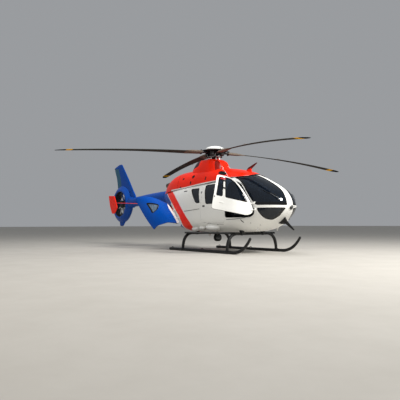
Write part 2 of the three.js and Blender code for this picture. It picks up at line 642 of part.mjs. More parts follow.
// Main rotor: hub, cap and four drooping blades
function mainRotor() {
  const rotor = new THREE.Group();
  rotor.rotation.z = THREE.MathUtils.degToRad(rotorTurn);
  airframe.add(rotor);
  const mast = cylinder(62, at(0, 0, gearboxTop + gap), at(0, 0, hubZ), 20);
  const plate = solidOf(turned([[0, 3045], [205, 3045], [225, 3065], [225, 3090], [150, 3120],
    [0, 3120]], 24));
  const core = solidOf(turned([[0, 3150], [150, 3150], [185, 3180], [185, 3270], [140, capSeatZ],
    [0, capSeatZ]], 24));
  let hub = joined(mast, plate, core);
  for (let k = 0; k < 4; k += 1) {
    const angle = (Math.PI / 2) * k;
    const arm = new THREE.BoxGeometry(armLength, 150, 60).translate(armEnd - armLength / 2, 0, bladeZ);
    const link = [at(205, -95, 3060), at(240, -100, 3180)].map((p) => p.applyAxisAngle(at(0, 0, 1), angle));
    hub = joined(hub, solidOf(arm.rotateZ(angle)), cylinder(14, link[0], link[1], 8));
  }
  piece(rotor, "rotor_hub", hub, black);
  const cap = solidOf(turned([[0, capSeatZ + gap], [275, capSeatZ + gap], [292, 3318], [280, 3350],
    [235, 3388], [160, 3415], [70, 3430], [0, 3434]], 28));
  piece(rotor, "hub_cap", cap, white);

  // Blade: radius, chord, thickness, twist in degrees, sweep of the quarter chord
  const bladeStations = [[armEnd + gap, 190, 100, 8, 0], [800, 205, 88, 8, 0], [1050, 290, 42, 7, 0],
    [2600, 288, 34, 3, 0], [4000, 286, 31, 0, 0], [4700, 284, 29, -2, 0], [4950, 230, 24, -2, 25],
    [rotorRadius, 130, 12, -2, 65]];
  bladeDroops.forEach((droop, k) => {
    const rings = bladeStations.map(([r, chord, thick, twist, sweep]) => {
      const turn = THREE.MathUtils.degToRad(twist);
      const drop = bladeZ - droop * (r / rotorRadius) ** 2;
      return wingOutline().map(([t, h]) => {
        const [ahead, up] = [(0.3 - t) * chord - sweep, h * thick];
        const [c, s] = [Math.cos(turn), Math.sin(turn)];
        return at(r, ahead * c - up * s, drop + ahead * s + up * c);
      });
    });
    const group = new THREE.Group();
    group.rotation.z = (Math.PI / 2) * k;
    rotor.add(group);
    piece(group, `rotor_blade_${k + 1}`, loft(rings), blade);
  });
}

// Ducted tail rotor: ten blades on a hub, turning about Y
function tailRotor() {
  const fan = new THREE.Group();
  fan.position.set(ductX, 0, ductZ);
  airframe.add(fan);
  const back = gap - statorFace;
  let rotor = solidOf(turned([[0, back], [150, back], [165, 0], [160, 55], [110, 84], [0, 92]], 24)
    .rotateX(Math.PI / 2));
  for (let k = 0; k < 10; k += 1) {
    const paddle = new THREE.BoxGeometry(fanR - 140, 46, 12);
    paddle.translate((fanR + 140) / 2, 0, 0).rotateX(0.6).translate(0, -8, 0);
    rotor = rotor.add(solidOf(paddle.rotateY((Math.PI / 5) * k + 0.12)));
  }
  piece(fan, "tail_rotor", rotor, black);
}

// Cabin inside: underfloor, instrument panel and seats
function interior() {
  const inside = pod(wall + gap, 3190, -2600);
  const slab = box(-880, 2900, -900, 900, 500, floorZ).intersect(inside);
  piece(airframe, "cabin_floor", slab, liner);
  const panelLine = [[2420, floorZ + gap], [2420, 1020], [2520, 1180], [2540, 1480], [2760, 1420],
    [2830, floorZ + gap]];
  const wide = sidePrism(panelLine, -330, 330).intersect(inside);
  const pedestal = box(2080, 2421, -90, 90, floorZ + gap, 1010);
  piece(airframe, "instrument_panel", wide.add(pedestal), black);
  const seatLine = [[0, 0], [0, 300], [-20, 420], [60, 440], [430, 400], [450, 300], [330, 0]];
  const backLine = [[-20, 330], [95, 420], [10, 900], [0, 1080], [-90, 1080], [-110, 880], [-60, 330]];
  // Name, middle, rear of the cushion
  const seatRows = [["pilot_seat", -370, 1500], ["copilot_seat", 370, 1500], ["rear_seat_right", -330, 250],
    ["rear_seat_left", 330, 250]];
  seatRows.forEach(([name, y, x]) => {
    const place = (line) => line.map(([u, v]) => [x + u, floorZ + gap + v]);
    const cushion = sidePrism(place(seatLine), y - 215, y + 215);
    piece(airframe, name, cushion.add(sidePrism(place(backLine), y - 205, y + 205)), cloth);
  });
}

function fittings() {
  const upper = sidePrism([[1480, 2440], [1640, 2450], [1990, 2672], [1955, 2684], [1600, 2560]], -9, 9);
  piece(airframe, "upper_wire_cutter", upper.subtract(cowl(-gap, 1985, cowlSplitX)), black);
  const lower = sidePrism([[2760, 880], [3030, 1100], [3130, 945], [3400, 690], [3370, 675], [3090, 850],
    [2920, 850]], -9, 9);
  piece(airframe, "lower_wire_cutter", lower.subtract(podSeat), black);
  const lampBody = joined(cylinder(115, at(400, -300, 430), at(560, -300, 430), 18),
    cylinder(28, at(470, -300, 470), at(470, -300, 660), 10));
  piece(airframe, "searchlight", lampBody.subtract(podSeat), black);
}

cabin();
cabinGlass();
slidingDoors();
frontDoors();
clamshellDoors();
cowlings();
powerPlant();
tail();
undercarriage();
steps();
mainRotor();
tailRotor();
interior();
fittings();

export default helicopter;
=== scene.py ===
# A light twin-engine rescue helicopter on its skids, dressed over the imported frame.
# Shapes are worked out in millimetres with the rotor mast at x = 0, +X to the nose, +Y to port,
# +Z up, and toRow() moves them to the frame's metres.
import bmesh
import bpy
import numpy as np
from math import radians
from mathutils import Matrix, Vector


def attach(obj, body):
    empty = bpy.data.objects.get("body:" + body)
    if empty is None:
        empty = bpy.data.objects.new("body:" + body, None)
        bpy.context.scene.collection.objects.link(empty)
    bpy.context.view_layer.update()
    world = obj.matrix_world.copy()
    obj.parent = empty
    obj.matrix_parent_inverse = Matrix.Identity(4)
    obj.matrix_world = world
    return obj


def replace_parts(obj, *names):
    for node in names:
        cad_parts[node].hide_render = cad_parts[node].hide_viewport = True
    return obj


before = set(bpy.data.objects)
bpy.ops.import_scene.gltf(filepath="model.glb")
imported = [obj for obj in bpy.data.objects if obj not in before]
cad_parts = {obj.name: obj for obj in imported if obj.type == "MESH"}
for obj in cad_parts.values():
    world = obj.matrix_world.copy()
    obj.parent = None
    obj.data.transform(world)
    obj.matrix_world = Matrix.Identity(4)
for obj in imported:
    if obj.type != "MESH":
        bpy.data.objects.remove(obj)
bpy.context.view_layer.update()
mastX = 1094.3
sides = ((-1, "right"), (1, "left"))
print("frame loaded")


def toRow(points):
    return np.asarray(points, float) / 1000 + (mastX / 1000, 0, 0)


# Camera
cameraSettings = {"place": (13.0042, -9.7835, 0.8398), "yaw": 2.4859, "pitch": 0.0525, "roll": -0.0019,
                  "lens": 42.04}


def addCamera(s):
    yaw, pitch, roll = s["yaw"], s["pitch"], s["roll"]
    ahead = Vector((np.cos(pitch) * np.cos(yaw), np.cos(pitch) * np.sin(yaw), np.sin(pitch)))
    right = ahead.cross(Vector((0, 0, 1))).normalized()
    up = right.cross(ahead)
    right, up = right * np.cos(roll) + up * np.sin(roll), up * np.cos(roll) - right * np.sin(roll)
    camera = bpy.data.objects.new("camera", bpy.data.cameras.new("camera"))
    camera.data.lens = s["lens"]
    camera.data.sensor_width = 36
    camera.data.clip_end = 500
    camera.matrix_world = Matrix.Translation(s["place"]) @ Matrix((right, up, -ahead)).transposed().to_4x4()
    bpy.context.scene.collection.objects.link(camera)
    bpy.context.scene.camera = camera


addCamera(cameraSettings)


def hexColor(text):
    # sRGB hex to linear
    v = np.array([int(text[i:i + 2], 16) for i in (1, 3, 5)]) / 255
    return (*np.where(v <= 0.04045, v / 12.92, ((v + 0.055) / 1.055) ** 2.4), 1.0)


def addNode(tree, kind, values=None, links=None, **settings):
    node = tree.nodes.new(kind)
    for name, value in settings.items():
        setattr(node, name, value)
    for name, value in (values or {}).items():
        node.inputs[name].default_value = value
    for name, source in (links or {}).items():
        tree.links.new(source, node.inputs[name])
    return node


# Cabin, cowling and boom formulas
podStations = np.array([  # station, belly, roof, half width, height of the widest line, roundness above, below
    [3260, 1380, 1390, 6, 1385, 2.0, 2.0], [3240, 1295, 1490, 150, 1380, 2.0, 2.0],
    [3180, 1180, 1620, 325, 1365, 2.05, 2.05], [3060, 1045, 1780, 475, 1335, 2.1, 2.1],
    [2860, 895, 1922, 600, 1290, 2.2, 2.2], [2560, 735, 2080, 692, 1230, 2.35, 2.3],
    [2250, 655, 2222, 745, 1190, 2.5, 2.5], [1950, 628, 2318, 770, 1165, 2.7, 2.7],
    [1500, 608, 2335, 780, 1150, 2.8, 2.9], [800, 600, 2320, 780, 1150, 2.9, 3.1],
    [0, 600, 2300, 780, 1150, 2.9, 3.1], [-650, 605, 2280, 776, 1160, 2.9, 3.0],
    [-1050, 650, 2262, 756, 1200, 2.8, 2.7], [-1450, 775, 2235, 705, 1320, 2.7, 2.4],
    [-1850, 985, 2200, 612, 1500, 2.5, 2.2], [-2250, 1270, 2160, 470, 1680, 2.2, 2.1],
    [-2650, 1575, 2112, 270, 1843, 2.0, 2.0]])
cowlStations = np.array([  # station, top, half width
    [1985, 2345, 210], [1860, 2395, 350], [1600, 2465, 450], [1200, 2550, 530], [700, 2625, 575],
    [0, 2665, 592], [-700, 2675, 592], [-1300, 2665, 580], [-1760, 2605, 535], [-2110, 2480, 455],
    [-2360, 2310, 360], [-2540, 2140, 260]])
boomStations = np.array([  # station, radius, height of the middle
    [-2650, 270, 1843], [-3200, 252, 1848], [-4000, 228, 1838], [-4700, 205, 1815], [-5300, 190, 1785]])


def smooth(table, x):
    # Cubic through falling stations, with slopes from the neighbours on each side; all columns at once
    x = np.asarray(x, float)
    s, v = table[:, 0], table[:, 1:]
    i = np.clip(np.searchsorted(-s, -x, side="right") - 1, 0, len(s) - 2)
    before, after = np.clip(np.arange(len(s)) - 1, 0, None), np.clip(np.arange(len(s)) + 1, None, len(s) - 1)
    slope = (v[after] - v[before]) / (s[after] - s[before])[:, None]
    span = (s[i + 1] - s[i])[..., None]
    t = (x - s[i])[..., None] / span
    t2, t3 = t * t, t * t * t
    out = ((2 * t3 - 3 * t2 + 1) * v[i] + (t3 - 2 * t2 + t) * span * slope[i]
           + (3 * t2 - 2 * t3) * v[i + 1] + (t3 - t2) * span * slope[i + 1])
    return np.moveaxis(out, -1, 0)


def podSurface(x, angle, inset=0):
    # Super-ellipse round the widest line: distance r at an angle, 1/r^n = |cos/w|^n + |sin/h|^n
    belly, roof, half, widest, above, below = smooth(podStations, x)
    c, s = np.cos(angle), np.sin(angle)
    n = np.where(s >= 0, above, below)
    w = np.maximum(half - inset, 1)
    h = np.maximum(np.where(s >= 0, roof - widest, widest - belly) - inset, 1)
    r = (np.abs(c / w) ** n + np.abs(s / h) ** n) ** (-1 / n)
    return np.stack([x + 0 * r, r * c, widest + r * s], -1)


def podHalfWidth(x, z, inset=0):
    belly, roof, half, widest, above, below = smooth(podStations, x)
    n = np.where(z >= widest, above, below)
    reach = np.where(z >= widest, roof - widest, widest - belly) - inset
    return (half - inset) * np.clip(1 - np.abs((z - widest) / reach) ** n, 0, 1) ** (1 / n)


# Stations spread evenly along the skin, because the nose turns square to x
noseTip, podTail = podStations[0, 0], podStations[-1, 0]
podLine = noseTip - (noseTip - podTail) * np.linspace(0, 1, 3000) ** 2
podWalk = np.concatenate([[0], np.cumsum(np.max(np.hypot(np.diff(podLine), np.diff(
    smooth(podStations, podLine)[:3], axis=1)), axis=0))])


def podStation(walk):
    return np.interp(walk, podWalk, podLine)


def podGrid(x0, x1, cell):
    w0, w1 = np.interp([-x0, -x1], -podLine, podWalk)
    return np.linspace(w0, w1, max(int((w1 - w0) / cell), 2) + 1)


# Outlines and cut sheets
def rounded(outline, reach, steps=10):
    # Each corner becomes a quadratic bend that starts reach away from it
    p = np.asarray(outline, float)
    t = np.linspace(0, 1, steps)[:, None, None]

    def towards(q):
        length = np.hypot(*(q - p).T)[:, None]
        return p + (q - p) * np.minimum(reach, length * 0.45) / length
    a, b = towards(np.roll(p, 1, 0)), towards(np.roll(p, -1, 0))
    bend = (1 - t) ** 2 * a + 2 * t * (1 - t) * p + t * t * b
    return bend.transpose(1, 0, 2).reshape(-1, 2)


def outlineDistance(outline, x, z):
    # Signed distance to a closed outline in side view, negative inside
    a = np.asarray(outline, float)
    b = np.roll(a, -1, 0)
    shape = np.shape(x)
    px, pz = np.ravel(x)[:, None], np.ravel(z)[:, None]
    dx, dz = b[:, 0] - a[:, 0], b[:, 1] - a[:, 1]
    t = np.clip(((px - a[:, 0]) * dx + (pz - a[:, 1]) * dz) / np.maximum(dx * dx + dz * dz, 1e-9), 0, 1)
    away = np.hypot(px - a[:, 0] - t * dx, pz - a[:, 1] - t * dz).min(1)
    crossed = ((a[:, 1] > pz) != (b[:, 1] > pz)) & (
        px < (b[:, 0] - a[:, 0]) * (pz - a[:, 1]) / np.where(dz == 0, 1e-9, dz) + a[:, 0])
    return (away * np.where(crossed.sum(1) % 2 == 1, -1, 1)).reshape(shape)


def cutSheet(surface, u, v, keep, snaps=3):
    # Part of surface(u, v) where keep(points) < 0. Grid points near the cut move onto it,
    # and the cells it still crosses are split along it.
    iu, iv = np.meshgrid(np.arange(len(u), dtype=float), np.arange(len(v), dtype=float), indexing="ij")
    at = lambda i, j: surface(np.interp(i, np.arange(len(u)), u), np.interp(j, np.arange(len(v)), v))
    d = keep(at(iu, iv))
    for _ in range(snaps):
        gu, gv = np.gradient(d, axis=0), np.gradient(d, axis=1)
        g2 = gu * gu + gv * gv + 1e-12
        near = (np.abs(d) < 0.42 * np.sqrt(g2)) & (np.abs(d) > 1e-4)
        iu = np.clip(np.where(near, iu - d * gu / g2, iu), 0, len(u) - 1)
        iv = np.clip(np.where(near, iv - d * gv / g2, iv), 0, len(v) - 1)
        d = keep(at(iu, iv))
    d = np.where(np.abs(d) < 0.35, 0, d).ravel()
    iu, iv = iu.ravel(), iv.ravel()
    index = np.arange(len(d)).reshape(len(u), len(v))
    quads = np.stack([index[:-1, :-1], index[1:, :-1], index[1:, 1:], index[:-1, 1:]], -1).reshape(-1, 4)
    dq = d[quads]
    whole = (dq <= 0).all(1) & (dq < 0).any(1)
    mixed = quads[~whole & (dq < 0).any(1)]
    tris = np.concatenate([mixed[:, [0, 1, 2]], mixed[:, [0, 2, 3]]])
    dt = d[tris]
    tris = tris[(dt < 0).any(1)]
    dt = d[tris]
    after = np.roll(tris, -1, 1)
    da = d[after]
    crossing = (dt * da) < 0
    low, high = np.minimum(tris, after), np.maximum(tris, after)
    keys, where = np.unique((low * len(d) + high)[crossing], return_inverse=True)
    a, b = keys // len(d), keys % len(d)
    t = d[a] / (d[a] - d[b])
    iu, iv = np.append(iu, iu[a] + t * (iu[b] - iu[a])), np.append(iv, iv[a] + t * (iv[b] - iv[a]))
    crossIndex = np.full(tris.shape, -1)
    crossIndex[crossing] = len(d) + where
    slots = np.stack([np.where(dt <= 0, tris, -1), crossIndex], -1).reshape(len(tris), 6)
    order = np.argsort(slots < 0, axis=1, kind="stable")
    slots = np.take_along_axis(slots, order, 1)
    count = (slots >= 0).sum(1)
    faces = [quads[whole], slots[count == 3][:, :3], slots[count == 4][:, :4]]
    used, back = np.unique(np.concatenate([f.ravel() for f in faces]), return_inverse=True)
    sizes = np.cumsum([0] + [f.size for f in faces])
    faces = [back[sizes[k]:sizes[k + 1]].reshape(f.shape) for k, f in enumerate(faces)]
    return at(iu[used], iv[used]), faces


def faceOutward(points, faces, inside):
    # Turns the whole sheet round if most of its faces look towards the inside points
    p = points
    total = 0
    for f in faces:
        if len(f):
            n = np.cross(p[f[:, 1]] - p[f[:, 0]], p[f[:, 2]] - p[f[:, 0]])
            c = p[f].mean(1)
            total += (n * (c - inside(c))).sum()
    return faces if total > 0 else [f[:, ::-1] for f in faces]


podMiddle = lambda c: np.stack([np.minimum(c[:, 0], 2700), 0 * c[:, 1], 0 * c[:, 2] + 1500], -1)


# Meshes
def newPiece(name, points, faces, body, materials, attributes=None, sharp=35):
    # points in the row frame's metres, faces a list of arrays with equal corner counts
    faces = [np.asarray(f) for f in faces if len(f)]
    mesh = bpy.data.meshes.new(name)
    corners = np.concatenate([f.ravel() for f in faces]).astype(np.int32)
    sizes = np.concatenate([np.full(len(f), f.shape[1]) for f in faces])
    mesh.vertices.add(len(points))
    mesh.loops.add(len(corners))
    mesh.polygons.add(len(sizes))
    mesh.vertices.foreach_set("co", np.asarray(points, np.float32).ravel())
    mesh.loops.foreach_set("vertex_index", corners)
    mesh.polygons.foreach_set("loop_start", (np.cumsum(sizes) - sizes).astype(np.int32))
    mesh.update(calc_edges=True)
    mesh.validate()
    for key, values in (attributes or {}).items():
        values = np.asarray(values, np.float32)
        kind = "FLOAT_VECTOR" if values.ndim == 2 else "FLOAT"
        layer = mesh.attributes.new(key, kind, "POINT")
        layer.data.foreach_set("vector" if values.ndim == 2 else "value", values.ravel())
    obj = bpy.data.objects.new(name, mesh)
    bpy.context.scene.collection.objects.link(obj)
    for material in materials if isinstance(materials, (list, tuple)) else [materials]:
        mesh.materials.append(material)
    mesh.shade_smooth()
    mesh.set_sharp_from_angle(angle=radians(sharp))
    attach(obj, body)
    return obj


def finish(obj, thick=0, bevel=0, rimSlot=0, insideSlot=0, sharp=40, offset=-1, segments=2):
    # Wall thickness, softened edges and flat-face normals, then applied
    if thick:
        wall = obj.modifiers.new("wall", "SOLIDIFY")
        wall.thickness, wall.offset = thick / 1000, offset
        wall.use_even_offset, wall.use_quality_normals = True, True
        wall.material_offset, wall.material_offset_rim = insideSlot, rimSlot
    if bevel:
        soft = obj.modifiers.new("edges", "BEVEL")
        soft.width, soft.segments, soft.limit_method = bevel / 1000, segments, "ANGLE"
        soft.angle_limit = radians(sharp)
        soft.use_clamp_overlap = True
    weighted = obj.modifiers.new("normals", "WEIGHTED_NORMAL")
    weighted.keep_sharp = True
    old = obj.data
    made = bpy.data.meshes.new_from_object(obj.evaluated_get(bpy.context.evaluated_depsgraph_get()))
    obj.modifiers.clear()
    obj.data = made
    made.name = obj.name
    bpy.data.meshes.remove(old)
    return obj


def merged(obj, distance=0.05):
    # Joins doubled points in a finished mesh
    work = bmesh.new()
    work.from_mesh(obj.data)
    bmesh.ops.remove_doubles(work, verts=work.verts, dist=distance / 1000)
    work.to_mesh(obj.data)
    work.free()
    obj.data.update()
    return obj


def gridFaces(rows, columns, closed=True, ends=True):
    # Quads over a grid of rows x columns points, each row a closed ring; ends are fans to two added points
    i, j = np.meshgrid(np.arange(rows - 1), np.arange(columns if closed else columns - 1), indexing="ij")
    k = (j + 1) % columns
    quads = np.stack([i * columns + j, i * columns + k, (i + 1) * columns + k, (i + 1) * columns + j], -1)
    faces = [quads.reshape(-1, 4)]
    if ends:
        j = np.arange(columns)
        k = (j + 1) % columns
        first, last = rows * columns, rows * columns + 1
        end = (rows - 1) * columns
        faces.append(np.stack([np.full(columns, first), k, j], -1))
        faces.append(np.stack([np.full(columns, last), end + j, end + k], -1))
    return faces


def outwardVolume(points, faces):
    # Turns a closed skin's faces outward if its volume comes out negative
    volume = 0
    for f in faces:
        for k in range(1, f.shape[1] - 1):
            a, b, c = points[f[:, 0]], points[f[:, k]], points[f[:, k + 1]]
            volume += np.einsum("ij,ij->i", a, np.cross(b, c)).sum()
    return faces if volume > 0 else [f[:, ::-1] for f in faces]


def loftPiece(name, rings, body, materials, attributes=None, place=toRow, sharp=35):
    # A closed skin over an array of rings (rows, columns, 3), with a fan at each end
    rings = np.asarray(rings, float)
    rows, columns = rings.shape[:2]
    points = np.concatenate([rings.reshape(-1, 3), [rings[0].mean(0), rings[-1].mean(0)]])
    if attributes:
        attributes = {k: np.concatenate([v.reshape(rows * columns, *v.shape[2:]), [v[0].mean(0), v[-1].mean(0)]])
                      for k, v in attributes.items()}
    faces = outwardVolume(points - points.mean(0), gridFaces(rows, columns))
    return newPiece(name, place(points), faces, body, materials, attributes, sharp)


def slottedPiece(name, rings, material, sharp=35):
    # A lofted piece of the airframe in its material
    piece = loftPiece(name, rings, "airframe", material, sharp=sharp)
    return piece


def tubeRings(path, radii, count=24, lift=(0, 0, 1)):
    # Circles square to a path: each turned by the path's own direction and one steady cross direction
    path = np.asarray(path, float)
    along = np.gradient(path, axis=0)
    along /= np.linalg.norm(along, axis=1)[:, None]
    cross = np.cross(along, np.asarray(lift, float))
    cross /= np.linalg.norm(cross, axis=1)[:, None]
    other = np.cross(cross, along)
    a = fullTurn(count)
    r = np.broadcast_to(np.asarray(radii, float), (len(path),))[:, None, None]
    return path[:, None] + r * (np.cos(a)[None, :, None] * cross[:, None] + np.sin(a)[None, :, None] * other[:, None])


def roundedEnds(path, radius, steps=5):
    # A path and its radii with both ends drawn in to a quarter circle
    path = np.asarray(path, float)
    t = np.linspace(0, np.pi / 2, steps + 1)[:-1]
    u0 = (path[1] - path[0]) / np.linalg.norm(path[1] - path[0])
    u1 = (path[-1] - path[-2]) / np.linalg.norm(path[-1] - path[-2])
    lead, tail = path[0] + u0 * radius, path[-1] - u1 * radius
    start = lead - np.cos(t)[:, None] * u0 * radius
    stop = (tail + np.cos(t)[:, None] * u1 * radius)[::-1]
    middle = path[1:-1]
    return (np.concatenate([start, [lead], middle, [tail], stop]),
            np.concatenate([radius * np.sin(t) + 0.02, np.full(len(middle) + 2, radius),
                            (radius * np.sin(t) + 0.02)[::-1]]))


def fullTurn(count):
    return np.linspace(0, 2 * np.pi, count, endpoint=False)


def bent(t, power):
    # Keeps the sign: flattens a cosine or sine so that a ring of them turns square
    return np.sign(t) * np.abs(t) ** power


def placedRings(rings, place):
    return place(rings.reshape(-1, 3)).reshape(rings.shape) if place else rings


def turnedRings(profile, count=48, axis="z", middle=(0, 0, 0)):
    # A profile of (radius, height) turned once round an axis
    r, h = np.asarray(profile, float).T
    a = fullTurn(count)
    x, y, z = r[:, None] * np.cos(a), r[:, None] * np.sin(a), h[:, None] + 0 * a
    rings = {"z": (x, y, z), "y": (x, z, y), "x": (z, x, y)}[axis]
    return np.stack(rings, -1) + middle


def bezier(points, count):
    p = np.asarray(points, float)
    t = np.linspace(0, 1, count)[:, None]
    return (1 - t) ** 3 * p[0] + 3 * t * (1 - t) ** 2 * p[1] + 3 * t * t * (1 - t) * p[2] + t ** 3 * p[3]


def softProfile(profile, reach, steps=4):
    # Rounds a profile's inner corners
    p = np.asarray(profile, float)
    out = [p[:1]]
    t = np.linspace(0, 1, steps)[:, None]
    for before, corner, after in zip(p[:-2], p[1:-1], p[2:]):
        la, lb = np.linalg.norm(before - corner), np.linalg.norm(after - corner)
        a = corner + (before - corner) * min(reach, la * 0.45) / la
        b = corner + (after - corner) * min(reach, lb * 0.45) / lb
        out.append((1 - t) ** 2 * a + 2 * t * (1 - t) * corner + t * t * b)
    return np.concatenate(out + [p[-1:]])


def swing(points, pivot, axis, degrees):
    # Points turned about a hinge
    turn = np.array(Matrix.Rotation(radians(degrees), 3, Vector(axis).normalized()))
    return (np.asarray(points, float) - pivot) @ turn.T + pivot


# Finishes
liveryColors = {"white": "#f0f0ec", "red": "#ff2600", "blue": "#0049a6", "pink": "#f3c9c4", "black": "#141516",
                "slate": "#2f6480", "yellow": "#e0a51c", "dark": "#0d1420", "brown": "#5d625e",
                "maroon": "#8e1509", "plum": "#3b1a26"}
liveryColors = {k: hexColor(v) for k, v in liveryColors.items()}


def newMaterial(name):
    material = bpy.data.materials.new(name)
    material.use_nodes = True
    tree = material.node_tree
    return material, tree, tree.nodes["Principled BSDF"]


def addZones(tree, color, zones):
    # Lays a colour over the one before it wherever an attribute (in metres) lies between two limits
    for key, low, high, paint in zones:
        value = addNode(tree, "ShaderNodeAttribute", attribute_name=key).outputs["Fac"]
        above = addNode(tree, "ShaderNodeMapRange", {"From Min": low - 0.0015, "From Max": low + 0.0015},
                        {"Value": value})
        below = addNode(tree, "ShaderNodeMapRange", {"From Min": high + 0.0015, "From Max": high - 0.0015},
                        {"Value": value})
        both = addNode(tree, "ShaderNodeMath", None, {0: above.outputs[0], 1: below.outputs[0]}, operation="MULTIPLY")
        mix = addNode(tree, "ShaderNodeMix", {7: liveryColors[paint]}, {0: both.outputs[0]}, data_type="RGBA")
        if isinstance(color, tuple):
            mix.inputs[6].default_value = color
        else:
            tree.links.new(color, mix.inputs[6])
        color = mix.outputs[2]
    return color


def paintMaterial(name, base, zones=(), roughness=0.34, coat=0.05, ior=1.3):
    # Two-part polyurethane topcoat, sprayed and polished: deep even colour, clear gloss, faint orange
    # peel and a trace of dust. The peel is drawn at 9 mm, coarser than real, so that it shows.
    material, tree, shader = newMaterial(name)
    place = addNode(tree, "ShaderNodeTexCoord").outputs["Object"]
    color = addZones(tree, liveryColors[base], zones)
    dust = addNode(tree, "ShaderNodeTexNoise", {"Scale": 2.2, "Detail": 6, "Roughness": 0.6}, {"Vector": place})
    film = addNode(tree, "ShaderNodeMapRange", {"From Min": 0.4, "From Max": 0.8, "To Min": 0.0, "To Max": 0.05},
                   {"Value": dust.outputs[0]})
    dusty = addNode(tree, "ShaderNodeMix", {7: hexColor("#8d8a80")}, {0: film.outputs[0]}, data_type="RGBA")
    if isinstance(color, tuple):
        dusty.inputs[6].default_value = color
    else:
        tree.links.new(color, dusty.inputs[6])
    tree.links.new(dusty.outputs[2], shader.inputs["Base Color"])
    rough = addNode(tree, "ShaderNodeMapRange", {"From Min": 0.3, "From Max": 0.75, "To Min": roughness - 0.06,
                                                 "To Max": roughness + 0.10}, {"Value": dust.outputs[0]})
    tree.links.new(rough.outputs[0], shader.inputs["Roughness"])
    peel = addNode(tree, "ShaderNodeTexNoise", {"Scale": 110, "Detail": 2}, {"Vector": place})
    bump = addNode(tree, "ShaderNodeBump", {"Strength": 0.05, "Distance": 0.004}, {"Height": peel.outputs[0]})
    tree.links.new(bump.outputs[0], shader.inputs["Normal"])
    shader.inputs["IOR"].default_value = ior
    shader.inputs["Coat Weight"].default_value = coat
    shader.inputs["Coat Roughness"].default_value = 0.06
    return material


def plainFinish(name, color, other, scale, roughness, spread=0.12, metallic=0.0, bump=0.1, depth=0.002, ior=None,
                stretch=(1, 1, 1), zones=()):
    # A base colour broken by a second one in a noise of a stated size, with roughness and bump from it
    material, tree, shader = newMaterial(name)
    place = addNode(tree, "ShaderNodeTexCoord").outputs["Object"]
    place = addNode(tree, "ShaderNodeMapping", {"Scale": stretch}, {"Vector": place}).outputs[0]
    noise = addNode(tree, "ShaderNodeTexNoise", {"Scale": scale, "Detail": 5, "Roughness": 0.6}, {"Vector": place})
    spots = addNode(tree, "ShaderNodeMapRange", {"From Min": 0.35, "From Max": 0.7}, {"Value": noise.outputs[0]})
    mix = addNode(tree, "ShaderNodeMix", {6: hexColor(color), 7: hexColor(other)}, {0: spots.outputs[0]},
                  data_type="RGBA")
    tree.links.new(addZones(tree, mix.outputs[2], zones), shader.inputs["Base Color"])
    rough = addNode(tree, "ShaderNodeMapRange",
                    {"From Min": 0.3, "From Max": 0.7, "To Min": max(roughness - spread, 0.03),
                                                 "To Max": roughness + spread}, {"Value": noise.outputs[0]})
    tree.links.new(rough.outputs[0], shader.inputs["Roughness"])
    grit = addNode(tree, "ShaderNodeTexNoise", {"Scale": scale * 6, "Detail": 3}, {"Vector": place})
    bumped = addNode(tree, "ShaderNodeBump", {"Strength": bump, "Distance": depth}, {"Height": grit.outputs[0]})
    tree.links.new(bumped.outputs[0], shader.inputs["Normal"])
    shader.inputs["Metallic"].default_value = metallic
    if ior:
        shader.inputs["IOR"].default_value = ior
    return material


def glassMaterial(name, tint, clear=0.9):
    # Stretched acrylic, polished: sharp reflections over a tint, and a black painted margin where frit > 0
    material, tree, shader = newMaterial(name)
    place = addNode(tree, "ShaderNodeTexCoord").outputs["Object"]
    frit = addNode(tree, "ShaderNodeAttribute", attribute_name="frit").outputs["Fac"]
    band = addNode(tree, "ShaderNodeMapRange", {"From Min": -0.002, "From Max": 0.002}, {"Value": frit})
    paint = addNode(tree, "ShaderNodeMix", {6: hexColor(tint), 7: hexColor("#0c0d0e")}, {0: band.outputs[0]},
                    data_type="RGBA")
    tree.links.new(paint.outputs[2], shader.inputs["Base Color"])
    through = addNode(tree, "ShaderNodeMapRange", {"To Min": clear, "To Max": 0.0}, {"Value": band.outputs[0]})
    tree.links.new(through.outputs[0], shader.inputs["Transmission Weight"])
    smear = addNode(tree, "ShaderNodeTexNoise", {"Scale": 3, "Detail": 5}, {"Vector": place})
    rough = addNode(tree, "ShaderNodeMapRange", {"From Min": 0.4, "From Max": 0.8, "To Min": 0.015, "To Max": 0.07},
                    {"Value": smear.outputs[0]})
    tree.links.new(rough.outputs[0], shader.inputs["Roughness"])
    shader.inputs["IOR"].default_value = 1.49
    return material


def clothMaterial(name, color, other, pitch):
    # Woven wool seat cloth: warp and weft seen as two crossed bands, drawn at the stated pitch in mm,
    # several times the real thread, so that it shows; rough, with a soft sheen
    material, tree, shader = newMaterial(name)
    place = addNode(tree, "ShaderNodeTexCoord").outputs["Object"]
    waves = []
    for direction in "YZ":
        wave = addNode(tree, "ShaderNodeTexWave", {"Scale": 1000 / pitch / 6.28, "Distortion": 0.4}, {"Vector": place},
                       bands_direction=direction)
        waves.append(wave.outputs["Fac"])
    weave = addNode(tree, "ShaderNodeMath", None, {0: waves[0], 1: waves[1]}, operation="MAXIMUM")
    mix = addNode(tree, "ShaderNodeMix", {6: hexColor(color), 7: hexColor(other)}, {0: weave.outputs[0]},
                  data_type="RGBA")
    tree.links.new(mix.outputs[2], shader.inputs["Base Color"])
    bumped = addNode(tree, "ShaderNodeBump", {"Strength": 0.4, "Distance": 0.0015}, {"Height": weave.outputs[0]})
    tree.links.new(bumped.outputs[0], shader.inputs["Normal"])
    shader.inputs["Roughness"].default_value = 0.9
    shader.inputs["Sheen Weight"].default_value = 0.25
    return material
